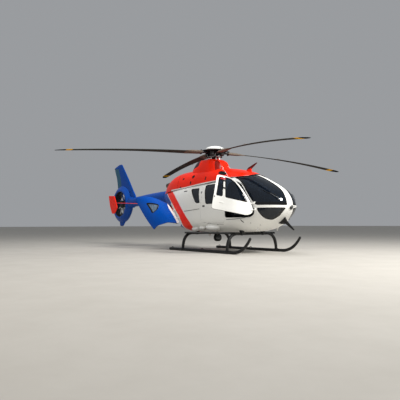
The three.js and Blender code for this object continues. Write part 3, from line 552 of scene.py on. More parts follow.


# The pink line at the stripe's front edge is a white pinstripe tinted pink: a painted reflection of the red
cabinZones = [("aft", 0, 9, "red"), ("aft", 0, 0.022, "pink"), ("behind", -0.030, 9, "white"), ("blue", 0, 9, "blue")]
topcoatCabin = paintMaterial("polyurethane topcoat, cabin", "white", cabinZones)
topcoatWhite = paintMaterial("polyurethane topcoat, white", "white")
topcoatClamshell = paintMaterial("polyurethane topcoat, rear doors", "white", [("blue", 0, 9, "blue")], coat=0.0,
                                 ior=1.22)
topcoatRed = paintMaterial("polyurethane topcoat, red", "red")
# The pink line just over the cowling's white edge is a white pinstripe tinted pink: a painted reflection of the red
topcoatCowl = paintMaterial("polyurethane topcoat, cowling", "red",
                            [("rise", -9, 0.012, "pink"), ("rise", -9, 0, "white")])
# Red topcoat with painted shade: duller red on the front face, dark plum on the rear of the top
topcoatFairing = paintMaterial("polyurethane topcoat, mast fairing, with painted shade", "red", [("shade", 0, 9, "maroon"),
                                                                             ("screen", 0, 9, "plum")])
topcoatBlue = paintMaterial("polyurethane topcoat, blue", "blue", coat=0.0, ior=1.22)
# Blue topcoat with painted shade: the fin's rear part is painted a greyer slate blue
topcoatFin = paintMaterial("polyurethane topcoat, fin, with painted shade", "blue", [("rear", -9, 0.40, "slate")], coat=0.0, ior=1.22)
topcoatWing = paintMaterial("polyurethane topcoat, stabiliser", "blue", [("chord", -1, 0.14, "red")])
# Blue topcoat with painted shade: near black within 40 mm of the bore
topcoatDuct = paintMaterial("polyurethane topcoat, fan duct", "blue", [("bore", -1, 0.04, "dark")])
rubberSeal = plainFinish("moulded EPDM door seal", "#101112", "#1b1c1d", 60, 0.62, bump=0.15)
cabinLiner = plainFinish("moulded cabin lining panels", "#2c2e31", "#36383b", 14, 0.7, bump=0.2)
doorLiner = plainFinish("moulded door lining, grey", "#3c3e41", "#484a4c", 14, 0.65, bump=0.2)
acrylic = glassMaterial("stretched acrylic, blue grey tint", "#263445", 0.8)
acrylicPale = glassMaterial("stretched acrylic, pale", "#8fa3b8", 0.8)
skidEnamel = plainFinish("powder coated aluminium tube, black", "#08090a", "#131313", 18, 0.42, bump=0.12, ior=1.45)
bladeSkin = plainFinish("glass fibre blade skin, painted", "#3b3835", "#4a4642", 9, 0.7, bump=0.12, stretch=(0.3, 1, 1),
                        ior=1.02, zones=[("chord", -1, 0.07, "brown"), ("chord", 0.93, 2, "brown"),
                               ("reach", 4.62, 4.80, "yellow"), ("reach", 4.80, 9, "black")])
hubAlloy = plainFinish("anodised hub alloy, black", "#121315", "#1e2022", 25, 0.5, bump=0.2, ior=1.45)
cuffFinish = plainFinish("glass fibre cuff, primed", "#776c61", "#5c5249", 20, 0.7, bump=0.15, ior=1.1)
bladeEdgeTan = plainFinish("polyurethane erosion tape, tan", "#9c8e7c", "#857866", 20, 0.6, bump=0.1)
polishedSteel = plainFinish("polished steel rod", "#b9bbbd", "#8b8e92", 30, 0.25, metallic=1.0, bump=0.1)
exhaustSteel = plainFinish("heat tinted stainless sheet", "#8a7f76", "#5a5350", 12, 0.4, metallic=1.0, bump=0.2)
castAlloy = plainFinish("sand cast aluminium", "#9fa1a2", "#7f8284", 40, 0.55, metallic=1.0, bump=0.3)
floorRubber = plainFinish("ribbed rubber floor mat", "#2a2c2e", "#36383a", 25, 0.75, bump=0.3)
panelBlack = plainFinish("crackle finish panel paint", "#141516", "#1e1f21", 80, 0.7, bump=0.4)
meshBlack = plainFinish("woven wire intake screen, black", "#050506", "#101011", 90, 0.7, bump=0.5, depth=0.004)
lampGlass = plainFinish("moulded polycarbonate lens", "#0d1115", "#1b2128", 30, 0.12, bump=0.05, ior=1.58)
shellPlastic = plainFinish("moulded seat shell, ABS", "#1c1e21", "#27292d", 40, 0.6, bump=0.2)
webbing = plainFinish("woven nylon webbing", "#3a3c40", "#4a4c51", 150, 0.8, bump=0.4)
cutterPaint = plainFinish("etch primer, dark red", "#70190f", "#45150f", 22, 0.6, bump=0.15)
signalRed = plainFinish("moulded ABS, red", "#c3161c", "#a81218", 40, 0.45, bump=0.1)
seatCloth = clothMaterial("woven wool seat cloth, charcoal", "#1e2127", "#343943", 9)
print("materials made")


# Cabin
podSettings = {"wall": 42, "cell": 25, "doorCell": 14, "glassDepth": 14, "glassThick": 7, "gap": 3, "doorGap": 6,
               "postHalf": 115, "postTop": 60, "chinLow": 205, "chinTop": 145, "frit": 30, "fritTop": 1455,
               "doorTop": 2110, "bayGap": 6, "trayGap": 8.5, "bayFront": -905, "bayMiddle": 3}
cornerReach = {"door": 90, "quarter": 45, "slidingPane": 70, "frontPane": 50, "clamshellPane": 60,
               "windscreen": 70, "chin": 40}
openingNear = 250  # an opening in a side cuts the skin only this far out from the middle
frontDoorLine = [[2400, 1040], [2545, 1120], [2565, 1245], [2478, 1407], [2292, 1654], [2160, 1815], [1990, 1985],
                 [1830, 2075], [1680, 2118], [1405, 2118], [1405, 1040]]
slidingDoorLine = [[1375, 900], [1375, 2165], [230, 2128], [230, 900]]
windscreenLine = [[3600, 1360], [2600, 1378], [2475, 1500], [2362, 1625], [2246, 1756], [2132, 1881], [2010, 2007],
                  [1850, 2111], [1700, 2180], [1500, 2232], [1500, 2262], [1760, 2262], [1760, 2400], [3600, 2400]]
chinWindowLine = [[3240, 1302], [3160, 1180], [3070, 1080], [2950, 995], [2875, 958], [2790, 1000], [2735, 1100],
                  [2672, 1205], [2615, 1302]]
frontPaneLine = [[2395, 1405], [2215, 1660], [2082, 1822], [1925, 1972], [1795, 2045], [1645, 2062], [1738, 1425]]
rearPaneLine = [[1665, 1440], [1612, 2045], [1478, 2045], [1478, 1440]]
slidingPaneLine = [[1290, 1475], [1290, 2115], [290, 2095], [480, 1475]]
quarterPaneLine = [[178, 1520], [5, 2015], [-445, 2006], [-85, 1570], [-20, 1520]]
clamshellLine = [[-860, 905], [-1560, 1515], [-2720, 1495], [-2720, 500], [-860, 500]]
trayLine = [[-1385, 0], [-1385, 925], [-1370, 976], [-1190, 1331], [-860, 1633], [-700, 1780], [-700, 0]]
clamshellPaneLine = [[-1725, 1085], [-1790, 1262], [-2180, 1285], [-1770, 980]]
# Livery lines in side view, as height and x
stripeRear = np.array([[758, -892], [924, -901], [1127, -1013], [1553, -1507], [1741, -1782], [1927, -2143],
                       [2076, -2650]])
stripeFront = np.array([[759, -275], [926, -353], [1122, -556], [1360, -791], [1599, -1041], [1859, -1391],
                        [2055, -1792]])
blueFront = np.array([[857, -938], [915, -996], [1072, -1215], [1262, -1440], [1428, -1550], [1578, -1620]])
frontHinge = lambda side: ((2540, side * 690, 1500), (-0.3, -side * 0.07, 1))
clamshellHinge = lambda side: ((-1098, side * 765, 1155), (-0.96, -side * 0.06, 1))
frontDoorOpen, clamshellOpen = 56, 100


def side2d(outline, reach=0):
    line = rounded(outline, reach) if reach else np.asarray(outline, float)
    return lambda p: outlineDistance(line, p[..., 0], p[..., 2])


def openingOf(outline, reach, near):
    inLine = side2d(outline, reach)
    return lambda p: np.maximum(inLine(p), near - np.abs(p[..., 1]))


def liveryDistances(points):
    # Metres behind the stripe's front edge, its rear edge, and the front edge of the blue
    x, z = points[:, 0], points[:, 2]
    past = lambda table: (np.interp(z, table[:, 0], table[:, 1]) - x) * 0.74 / 1000
    behind = past(stripeRear)
    return {"aft": past(stripeFront), "behind": behind, "blue": np.where(z < 1590, past(blueFront), behind)}


def trayDistance(p):
    return outlineDistance(trayLine, p[..., 0], p[..., 2] + np.abs(p[..., 1]))


def windscreenOpening(p, s=podSettings):
    # The post between the panes narrows towards the roof
    half = np.interp(p[..., 2], [1500, 2150], [s["postHalf"], s["postTop"]])
    return np.maximum(side2d(windscreenLine, cornerReach["windscreen"])(p), half - np.abs(p[..., 1]))


def chinOpening(p, s=podSettings):
    half = np.interp(p[..., 2], [1110, 1290], [s["chinLow"], s["chinTop"]])
    return np.maximum(side2d(chinWindowLine, cornerReach["chin"])(p), half - np.abs(p[..., 1]))


frontOpening = openingOf(frontDoorLine, cornerReach["door"], openingNear)
slidingOpening = openingOf(slidingDoorLine, cornerReach["door"], openingNear)
quarterOpening = openingOf(quarterPaneLine, cornerReach["quarter"], openingNear)
clamshellBay = lambda p: np.maximum(outlineDistance(clamshellLine, p[..., 0], p[..., 2]), -trayDistance(p))


def sideAngles(side, a0, a1):
    return (a0, a1) if side > 0 else (180 - a1, 180 - a0)


def sheetPiece(name, keep, x0, x1, angles, cell, body, materials, thick, inset=0, bevel=2.5, place=None, sharp=40,
               rimSlot=0, insideSlot=0, frit=None):
    # One panel of the cabin skin: cut sheet, wall, softened edges
    walk = podGrid(x0, x1, cell)
    a0, a1 = angles
    around = np.linspace(radians(a0), radians(a1), max(int(radians(abs(a1 - a0)) * 800 / cell), 2) + 1)
    points, faces = cutSheet(lambda u, v: podSurface(podStation(u), v, inset), walk, around, keep)
    faces = faceOutward(points, faces, podMiddle)
    attributes = liveryDistances(points) if frit is None else {"frit": frit(points) / 1000}
    placed = toRow(place(points) if place else points)
    obj = newPiece(name, placed, faces, body, materials, attributes)
    if x0 == noseTip:
        merged(obj)
    return finish(obj, thick, bevel, rimSlot, insideSlot, sharp)


def panePiece(name, node, opening, x0, x1, angles, side, body, material, s, place=None, top=0):
    # Glass in an opening of the skin, with its black margin all round and up to a stated height
    keep = lambda p: np.maximum(opening(p) + 0.5, -side * p[..., 1])
    frit = lambda p: np.maximum(opening(p) + s["frit"], top - p[..., 2])
    pane = sheetPiece(name, keep, x0, x1, angles, 16, body, material, s["glassThick"], s["glassDepth"], 0,
                      place=place, frit=frit)
    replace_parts(pane, node)


def cabin(s):
    openings = (frontOpening, slidingOpening, windscreenOpening, chinOpening, quarterOpening, clamshellBay)
    keep = lambda p: -np.min([o(p) for o in openings], axis=0)
    shell = sheetPiece("cabin_skin", keep, noseTip, podTail, (-90, 270), s["cell"], "airframe",
                       [topcoatCabin, cabinLiner, rubberSeal], s["wall"], bevel=3, insideSlot=1, rimSlot=2)
    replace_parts(shell, "cabin_shell")
    panes = (("windscreen", windscreenOpening, 3255, 1460, 3, 90, acrylic, s["fritTop"]),
             ("chin_window", chinOpening, 3255, 2580, -80, 20, acrylic, 0),
             ("quarter_window", quarterOpening, 250, -520, 5, 80, acrylic, 0))
    for side, hand in sides:
        for name, opening, x0, x1, a0, a1, glass, top in panes:
            panePiece(f"{name}_pane_{hand}", f"{name}_{hand}", opening, x0, x1, sideAngles(side, a0, a1), side,
                      "airframe", glass, s, top=top)


def slidingDoor(side, hand, s):
    outline = side2d(slidingDoorLine, cornerReach["door"])
    window = openingOf(slidingPaneLine, cornerReach["slidingPane"], openingNear)
    keep = lambda p: np.max([outline(p) + s["gap"], -window(p), -side * p[..., 1]], axis=0)
    panel = sheetPiece("sliding_door_panel_" + hand, keep, 1420, 200, sideAngles(side, -40, 80), s["doorCell"],
                       "airframe", [topcoatCabin, cabinLiner, rubberSeal], s["wall"], insideSlot=1, rimSlot=2)
    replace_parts(panel, "sliding_door_" + hand)
    panePiece("sliding_door_pane_" + hand, "sliding_door_glass_" + hand, window, 1330, 250, sideAngles(side, 0, 80),
              side, "airframe", acrylic, s)


def frontDoorPlace(side):
    pivot, axis = frontHinge(side)
    return lambda p: swing(p, pivot, axis, frontDoorOpen if side < 0 else 0)


def frontDoor(side, hand, s):
    body, place = "front_door_" + hand[0], frontDoorPlace(side)
    lowered = [[x, min(z, s["doorTop"])] for x, z in frontDoorLine]
    outline = side2d(lowered, cornerReach["door"])
    front, rear = (openingOf(line, cornerReach["frontPane"], openingNear) for line in (frontPaneLine, rearPaneLine))
    keep = lambda p: np.max([outline(p) + s["doorGap"], -front(p), -rear(p), -side * p[..., 1]], axis=0)
    panel = sheetPiece("front_door_panel_" + hand, keep, 2620, 1380, sideAngles(side, -20, 88), s["doorCell"], body,
                       [topcoatWhite, doorLiner, rubberSeal], s["wall"], place=place, insideSlot=1, rimSlot=2)
    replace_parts(panel, "front_door_" + hand)
    for name, window in (("", front), ("rear_", rear)):
        panePiece(f"front_door_{name}pane_{hand}", f"front_door_{name}glass_{hand}", window, 2480, 1440,
                  sideAngles(side, 0, 88), side, body, acrylic, s, place=place)


def clamshellPlace(side):
    pivot, axis = clamshellHinge(side)
    return lambda p: swing(p, pivot, axis, -side * clamshellOpen)


def clamshellDoor(side, hand, s):
    body, place = "clamshell_" + hand[0], clamshellPlace(side)
    window = openingOf(clamshellPaneLine, cornerReach["clamshellPane"], 150)
    outline = side2d(clamshellLine)
    keep = lambda p: np.max([outline(p) + s["bayGap"], s["trayGap"] - trayDistance(p), p[..., 0] - s["bayFront"],
                             s["bayMiddle"] - side * p[..., 1], -window(p)], axis=0)
    panel = sheetPiece("clamshell_panel_" + hand, keep, -880, -2650, sideAngles(side, -90, 45), s["doorCell"], body,
                       [topcoatClamshell, cabinLiner, rubberSeal], s["wall"], place=place, insideSlot=1, rimSlot=2)
    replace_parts(panel, "clamshell_door_" + hand)
    panePiece("clamshell_pane_" + hand, "clamshell_glass_" + hand, window, -1600, -2300, sideAngles(side, -90, 45),
              side, body, acrylicPale, s, place=place)


cabin(podSettings)
for side, hand in sides:
    slidingDoor(side, hand, podSettings)
    frontDoor(side, hand, podSettings)
    clamshellDoor(side, hand, podSettings)
print("cabin and doors made")


# Cowlings
cowlSettings = {"base": 2020, "roundness": 2.5, "proud": 12, "split": -1330, "rear": -2540, "skin": 22, "cell": 20,
                "centre": 1900, "mastHole": 175, "exhaustRadius": 95, "exhaustGap": 108}
cowlLowLine = [[2100, 2262], [1700, 2275], [1200, 2262], [740, 2190], [-30, 2130], [-860, 2070], [-1560, 2030],
               [-2600, 1960], [-2600, 3500], [2100, 3500]]
cowlPaintLine = np.array([[-2600, 1800], [-1800, 1900], [-1780, 2055], [-1248, 2073], [-800, 2097], [-371, 2133],
                          [124, 2174], [512, 2193], [740, 2205], [1200, 2262], [2100, 2262]])
exhaustLine = lambda side: (np.array([-1770, side * 250, 2350.]), np.array([-2450, side * 215, 2262.]))
fairingLevels = np.array([[2990, 340, -560, 230], [2978, 375, -620, 262], [2945, 435, -700, 300],
                          [2850, 480, -800, 345], [2700, 520, -900, 388], [2450, 600, -1080, 420]])


def lineDistance(points, a, b):
    u = (b - a) / np.linalg.norm(b - a)
    d = points - a
    return np.linalg.norm(d - (d @ u)[..., None] * u, axis=-1)


def cowlSurface(x, angle, s=cowlSettings):
    # Outer one of the cowling's super-ellipse and the cabin grown by the margin, along a ray from the centre
    top, wide = smooth(cowlStations, x)
    belly, roof, half, widest, above, below = smooth(podStations, x)
    c, n = s["centre"], s["roundness"]
    ca, sa = np.cos(angle), np.sin(angle)

    def inside(r):
        y, z = r * ca, c + r * sa
        rise = np.where(z >= s["base"], top - s["base"], 220)
        hood = (np.abs(y / wide) ** n + np.abs((z - s["base"]) / rise) ** n) ** (1 / n)
        power = np.where(z >= widest, above, below)
        reach = np.where(z >= widest, roof - widest, widest - belly) + s["proud"]
        skin = (np.abs(y / (half + s["proud"])) ** power + np.abs((z - widest) / reach) ** power) ** (1 / power)
        a, b = (hood - 1) * 600, (skin - 1) * 800
        k = 18.0  # fillet between the two
        h = np.clip(0.5 + 0.5 * (b - a) / k, 0, 1)
        return b * (1 - h) + a * h - k * h * (1 - h)
    low, high = np.full(np.shape(ca + x), 5.0), np.full(np.shape(ca + x), 1600.0)
    for _ in range(26):
        middle = (low + high) / 2
        out = inside(middle) > 0
        low, high = np.where(out, low, middle), np.where(out, middle, high)
    return np.stack([x + 0 * low, low * ca, c + low * sa], -1)


def fairingSurface(z, angle):
    # Oval levels with flattened ends: each half axis times |cos| or |sin| to the power 0.6
    front, rear, wide = smooth(fairingLevels, z)
    u, v = bent(np.cos(angle), 0.6), bent(np.sin(angle), 0.6)
    x = (front + rear) / 2 + (front - rear) / 2 * u
    # The top slopes down ahead of the mast: a smooth step of 95 mm that fades out towards the base
    t = np.clip((x - 60) / 400, 0, 1)
    return np.stack([x, wide * v, z - 95 * t * t * (3 - 2 * t) * (z - 2450) / 540], -1)


def cowlings(s):
    lowLine = lambda p: outlineDistance(cowlLowLine, p[..., 0], p[..., 2])
    pipes = lambda p: np.min([lineDistance(p, *exhaustLine(side)) for side, _ in sides], axis=0)
    pieces = (("transmission_cowling", cowlStations[0, 0], s["split"] + 3, lowLine),
              ("engine_cowling", s["split"] - 3, s["rear"],
               lambda p: np.maximum(lowLine(p), s["exhaustGap"] - pipes(p))))
    for name, x0, x1, keep in pieces:
        u = np.linspace(x0, x1, int((x0 - x1) / s["cell"]) + 1)
        v = np.linspace(radians(5), radians(175), 110)
        points, faces = cutSheet(cowlSurface, u, v, keep)
        faces = faceOutward(points, faces, lambda c: np.stack([c[:, 0], 0 * c[:, 1], 0 * c[:, 2] + s["centre"]], -1))
        rise = (points[:, 2] - np.interp(points[:, 0], cowlPaintLine[:, 0], cowlPaintLine[:, 1])) / 1000
        obj = newPiece(name + "_skin", toRow(points), faces, "airframe", [topcoatCowl, rubberSeal], {"rise": rise})
        finish(obj, s["skin"], 2.5, rimSlot=1, insideSlot=1)
        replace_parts(obj, name)

    # Mast fairing, drawn in over its top to the mast's hole
    z = np.concatenate([np.linspace(2480, 2700, 9)[:-1], np.linspace(2700, 2945, 12)[:-1], np.linspace(2945, 2990, 8)])
    a = fullTurn(160)
    rings = fairingSurface(z[:, None], a)
    inward = np.linspace(0.08, 1, 12)[:, None, None]
    hole = np.stack([s["mastHole"] * np.cos(a), s["mastHole"] * np.sin(a), 0 * a + 2992], -1)
    rings = np.concatenate([rings, rings[-1] + (hole - rings[-1]) * inward])
    points = rings.reshape(-1, 3)
    faces = faceOutward(points, gridFaces(len(rings), len(a), ends=False),
                        lambda c: np.stack([0 * c[:, 0] - 100, 0 * c[:, 1], 0 * c[:, 2] + 2600], -1))
    # The rear of its top is painted dark plum and the front face a duller red, both painted shade
    rim = np.minimum(points[:, 2] - np.interp(points[:, 0], [-900, 0, 60], [2660, 2880, 3100]), -400 - points[:, 0])
    face = np.minimum(points[:, 0] - 300 - 0.3 * (2950 - points[:, 2]), -140 - points[:, 1])
    obj = newPiece("mast_fairing", toRow(points), faces, "airframe", [topcoatFairing, rubberSeal],
                   {"screen": rim / 1000, "shade": face / 1000}, sharp=60)
    finish(obj, 15, 2, insideSlot=1)

    # Exhaust pipes with a rolled lip, open at the rear
    for side, hand in sides:
        start, end = exhaustLine(side)
        t = np.concatenate([np.linspace(0, 0.985, 18), [0.99, 1.0, 1.0, 0.99], np.linspace(0.985, 0.12, 14)])[:, None]
        radii = s["exhaustRadius"] + np.concatenate([np.zeros(18), [2, 3, -1, -4], np.full(14, -5.0)])
        rings = tubeRings(start + (end - start) * np.linspace(0, 1, len(t))[:, None], radii, 40, (0, 0, 1))
        rings += ((end - start) * (t - np.linspace(0, 1, len(t))[:, None]))[:, None]
        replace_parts(slottedPiece("exhaust_pipe_" + hand, rings, exhaustSteel, sharp=50),
                    "exhaust_" + hand)


cowlings(cowlSettings)
print("cowlings made")


# Tail
tailSettings = {"ductX": -6350, "ductZ": 1730, "ductR": 505, "vanes": 11, "fanBlades": 10}
finLevels = np.array([[3495, -6455, -6700, 50], [3440, -6385, -6900, 80], [3365, -6318, -7105, 105],
                      [2850, -5870, -6900, 140], [2250, -5390, -6800, 175], [1960, -5190, -6900, 190],
                      [1500, -5330, -6900, 120]])
endPlateLine = [[-4330, 1500], [-4590, 1960], [-5060, 1985], [-4930, 1560], [-4760, 1270], [-4560, 1270]]


def wingSection(count):
    # Chord share t from the leading edge and half thickness, thickest near 30 %
    t = (1 - np.cos(np.linspace(0, np.pi, count))) / 2
    half = 2.6 * (np.sqrt(t) * 0.28 - 0.12 * t - 0.16 * t * t) * 1.9 / 2
    return np.concatenate([t, t[-2:0:-1]]), np.concatenate([half, -half[-2:0:-1]])


def wingRings(z, lead, trail, thick, count=28):
    # Wing sections standing on each height z: chord from lead to trail, half thickness times thick
    t, h = wingSection(count)
    return t, np.stack([lead[:, None] + (trail - lead)[:, None] * t, h * thick[:, None], z[:, None] + 0 * t], -1)


def aroundFan(points, angle, s=tailSettings):
    # Points drawn along the radius, turned about the fan's axis and moved to the duct's middle
    c, q = np.cos(angle), np.sin(angle)
    turned = np.stack([points[..., 0] * c + points[..., 2] * q, points[..., 1],
                       -points[..., 0] * q + points[..., 2] * c], -1)
    return turned + (s["ductX"], 0, s["ductZ"])


def tailBoom():
    x = np.linspace(-2650, -5300, 60)
    radius, middle = smooth(boomStations, x)
    a = fullTurn(64)
    rings = np.stack([x[:, None] + 0 * a, radius[:, None] * np.cos(a), middle[:, None] + radius[:, None] * np.sin(a)],
                     -1)
    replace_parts(slottedPiece("boom_skin", rings, topcoatBlue), "tail_boom")
    # Riveted bands where the boom's sheets lap
    for k, station in enumerate((-2680, -3150, -3800, -4250, -4850, -5270)):
        x = station + np.array([-30, -28, -24, 24, 28, 30.0])
        radius, middle = smooth(boomStations, x)
        radius = radius + np.array([-2, 1.2, 2, 2, 1.2, -2])
        rings = np.stack([x[:, None] + 0 * a, radius[:, None] * np.cos(a),
                          middle[:, None] + radius[:, None] * np.sin(a)], -1)
        slottedPiece(f"boom_band_{k + 1}", rings, topcoatBlue)


def finAndDuct(s):
    z = np.concatenate([[3495, 3494, 3491, 3485, 3474, 3460], np.linspace(3440, 2255, 60)])
    lead, trail, thick = smooth(finLevels, z)
    draw = np.interp(z, [3440, 3474, 3485, 3491, 3494, 3495], [1, 0.85, 0.65, 0.45, 0.25, 0.04])
    _, rings = wingRings(z, lead, trail, thick * draw)
    # Metres ahead of the trailing edge, growing fast above 3300 mm: sets where the fin's painted shade lies
    rear = (rings[..., 0] - trail[:, None]) / 1000 + 0.9 * np.maximum(z[:, None] - 3300, 0) / 100
    fin = loftPiece("fin_skin", rings, "airframe", topcoatFin, {"rear": rear}, sharp=50)
    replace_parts(fin, "fin_and_duct")
    # Shroud: a closed ring profile turned about Y, from the bore's throat over its lips to the rim
    ring = np.array([[505, -95], [533, -155], [575, -185], [640, -165], [740, -90], [790, -55], [800, 0], [790, 55],
                     [740, 90], [640, 165], [575, 185], [530, 185], [512, 150], [505, 110], [505, 0]])
    ring = np.concatenate([ring, ring[:1]])
    soft = softProfile(ring, 60, 6)[:-1]
    around = 96
    points = turnedRings(soft, around, "y", (s["ductX"], 0, s["ductZ"])).reshape(-1, 3)
    n = len(soft)
    i, j = np.meshgrid(np.arange(n), np.arange(around), indexing="ij")
    k, m = (i + 1) % n, (j + 1) % around
    faces = [np.stack([i * around + j, i * around + m, k * around + m, k * around + j], -1).reshape(-1, 4)]
    faces = outwardVolume(points - (s["ductX"], 0, s["ductZ"]), faces)
    # Metres out from the bore: where the duct's painted shade lies
    bore = np.repeat(soft[:, 0] - s["ductR"], around) / 1000
    shroud = newPiece("duct_shroud", toRow(points), faces, "airframe", topcoatDuct, {"bore": bore}, sharp=60)
    # Neck from the boom into the shroud
    u = np.linspace(0, 1, 14)[:, None]
    a = fullTurn(64)
    x, wide, high, mid = -5300 - 515 * u, 190 - 45 * u, 190 + 110 * u, 1785 - 10 * u
    rings = np.stack([x + 0 * a, wide * np.cos(a), mid + high * np.sin(a)], -1)
    slottedPiece("duct_neck", rings, topcoatBlue)
    z = np.linspace(2250, 1560, 12)
    lead, trail, thick = smooth(finLevels, z)
    _, rings = wingRings(z, lead, np.full_like(trail, -5815), thick)
    slottedPiece("fin_root", rings, topcoatBlue)
    z = np.concatenate([np.linspace(1100, 810, 12), [803, 798, 795]])
    draw = np.concatenate([np.ones(12), [0.8, 0.5, 0.1]])
    lead, trail = np.interp(z, [800, 1150], [-6255, -5900]), np.interp(z, [800, 1150], [-6565, -6700])
    _, rings = wingRings(z, lead, trail, 72 * draw)
    slottedPiece("ventral_fin", rings, topcoatBlue)
    guard = bezier([[-6240, 0, 830], [-6330, 0, 770], [-6480, 0, 770], [-6590, 0, 830]], 24)
    path, radii = roundedEnds(guard, 9)
    slottedPiece("tail_guard_tube", tubeRings(path, radii, 20, (0, 1, 0)), skidEnamel)
    lamp = np.stack([np.linspace(-7060, -7128, 12), np.zeros(12), np.full(12, 3345.0)], -1)
    path, radii = roundedEnds(lamp, 17)
    slottedPiece("tail_position_light", tubeRings(path, radii, 24, (0, 0, 1)), rubberSeal)


def stator(s):
    pod = turnedRings(softProfile([[0.5, 38], [140, 38], [150, 60], [140, 150], [90, 200], [0.5, 214]], 25), 48, "y",
                      (s["ductX"], 0, s["ductZ"]))
    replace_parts(slottedPiece("tail_gearbox_pod", pod, castAlloy), "tail_stator")
    t, h = wingSection(12)
    for k in range(s["vanes"]):
        r = np.linspace(120, 520, 6)[:, None]
        thick = 60 if k == 0 else 20
        local = np.stack([r + 0 * t, 65 + 70 * t + 0 * r, h * thick + 0 * r], -1)
        slottedPiece(f"stator_vane_{k + 1}", aroundFan(local, 2 * np.pi * k / s["vanes"] + 0.2), topcoatBlue)


def stabiliser(side, hand):
    y = np.linspace(60, 1300, 20)[:, None]
    t, h = wingSection(24)
    rings = np.stack([-4330 - 460 * t + 0 * y, side * y + 0 * t, 1680 + h * 52 + 0 * y], -1)
    wing = loftPiece("stabiliser_skin_" + hand, rings, "airframe", topcoatWing,
                     {"chord": np.broadcast_to(t, rings.shape[:2]).copy()})
    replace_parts(wing, "stabiliser_" + hand)
    plateLine = rounded(endPlateLine, 60)
    points, faces = cutSheet(lambda u, v: np.stack([u, 0 * u + side * 1330, v], -1), np.linspace(-4300, -5090, 50),
                             np.linspace(1250, 2000, 46), lambda p: outlineDistance(plateLine, p[..., 0], p[..., 2]))
    faces = faceOutward(points, faces, lambda c: c * (1, 0, 1))
    plate = newPiece("end_plate_skin_" + hand, toRow(points), faces, "airframe", topcoatRed)
    finish(plate, 29, 10, segments=3)
    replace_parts(plate, "end_plate_" + hand)


def tailFan(s):
    hub = turnedRings(softProfile([[0.5, -37], [150, -37], [165, 0], [160, 55], [110, 84], [0.5, 92]], 18), 48, "y")
    hub = loftPiece("fan_hub", hub * (1, -1, 1) + (s["ductX"], 0, s["ductZ"]), "tail_fan", hubAlloy)
    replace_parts(hub, "tail_rotor")
    t, h = wingSection(20)
    for k in range(s["fanBlades"]):
        r = np.linspace(140, 492, 14)[:, None]
        twist = np.interp(r, [140, 492], [0.75, 0.45])
        chord = np.interp(r, [140, 220, 492], [50, 62, 56])
        ahead, up = (0.5 - t) * chord, h * 16 + 0 * r
        local = np.stack([r + 0 * t, ahead * np.sin(twist) + up * np.cos(twist) - 8,
                          ahead * np.cos(twist) - up * np.sin(twist)], -1)
        paddle = loftPiece(f"fan_blade_{k + 1}", aroundFan(local, np.pi / 5 * k + 0.12), "tail_fan", polishedSteel)


tailBoom()
finAndDuct(tailSettings)
stator(tailSettings)
for side, hand in sides:
    stabiliser(side, hand)
tailFan(tailSettings)
print("tail made")


# Undercarriage
skidSettings = {"halfTrack": 1014, "radius": 45, "rear": -1160, "cross": {"front": 1764, "rear": -403},
                "crossRadius": 36, "stepY": (760, 900), "stepZ": (556, 606), "stepX": (-463, 1824)}


def roundedBox(low, high, reach, steps=5):
    # A box with every edge rounded: level outlines drawn in over a quarter circle at its top and bottom
    low, high = np.asarray(low, float), np.asarray(high, float)
    t = np.linspace(0, np.pi / 2, steps)
    inset = np.concatenate([reach * (1 - np.sin(t)), reach * (1 - np.cos(t))])
    z = np.concatenate([low[2] + reach * (1 - np.cos(t)), high[2] - reach * (1 - np.sin(t))])
    corners = np.array([[low[0], low[1]], [high[0], low[1]], [high[0], high[1]], [low[0], high[1]]])
    outline = rounded(corners, reach, steps + 1)
    mid, half = (low + high)[:2] / 2, (high - low)[:2] / 2
    scale = (half - inset[:, None]) / half
    return np.stack([mid[0] + (outline[:, 0] - mid[0]) * scale[:, :1], mid[1] + (outline[:, 1] - mid[1]) * scale[:, 1:],
                     z[:, None] + 0 * outline[:, 0]], -1)


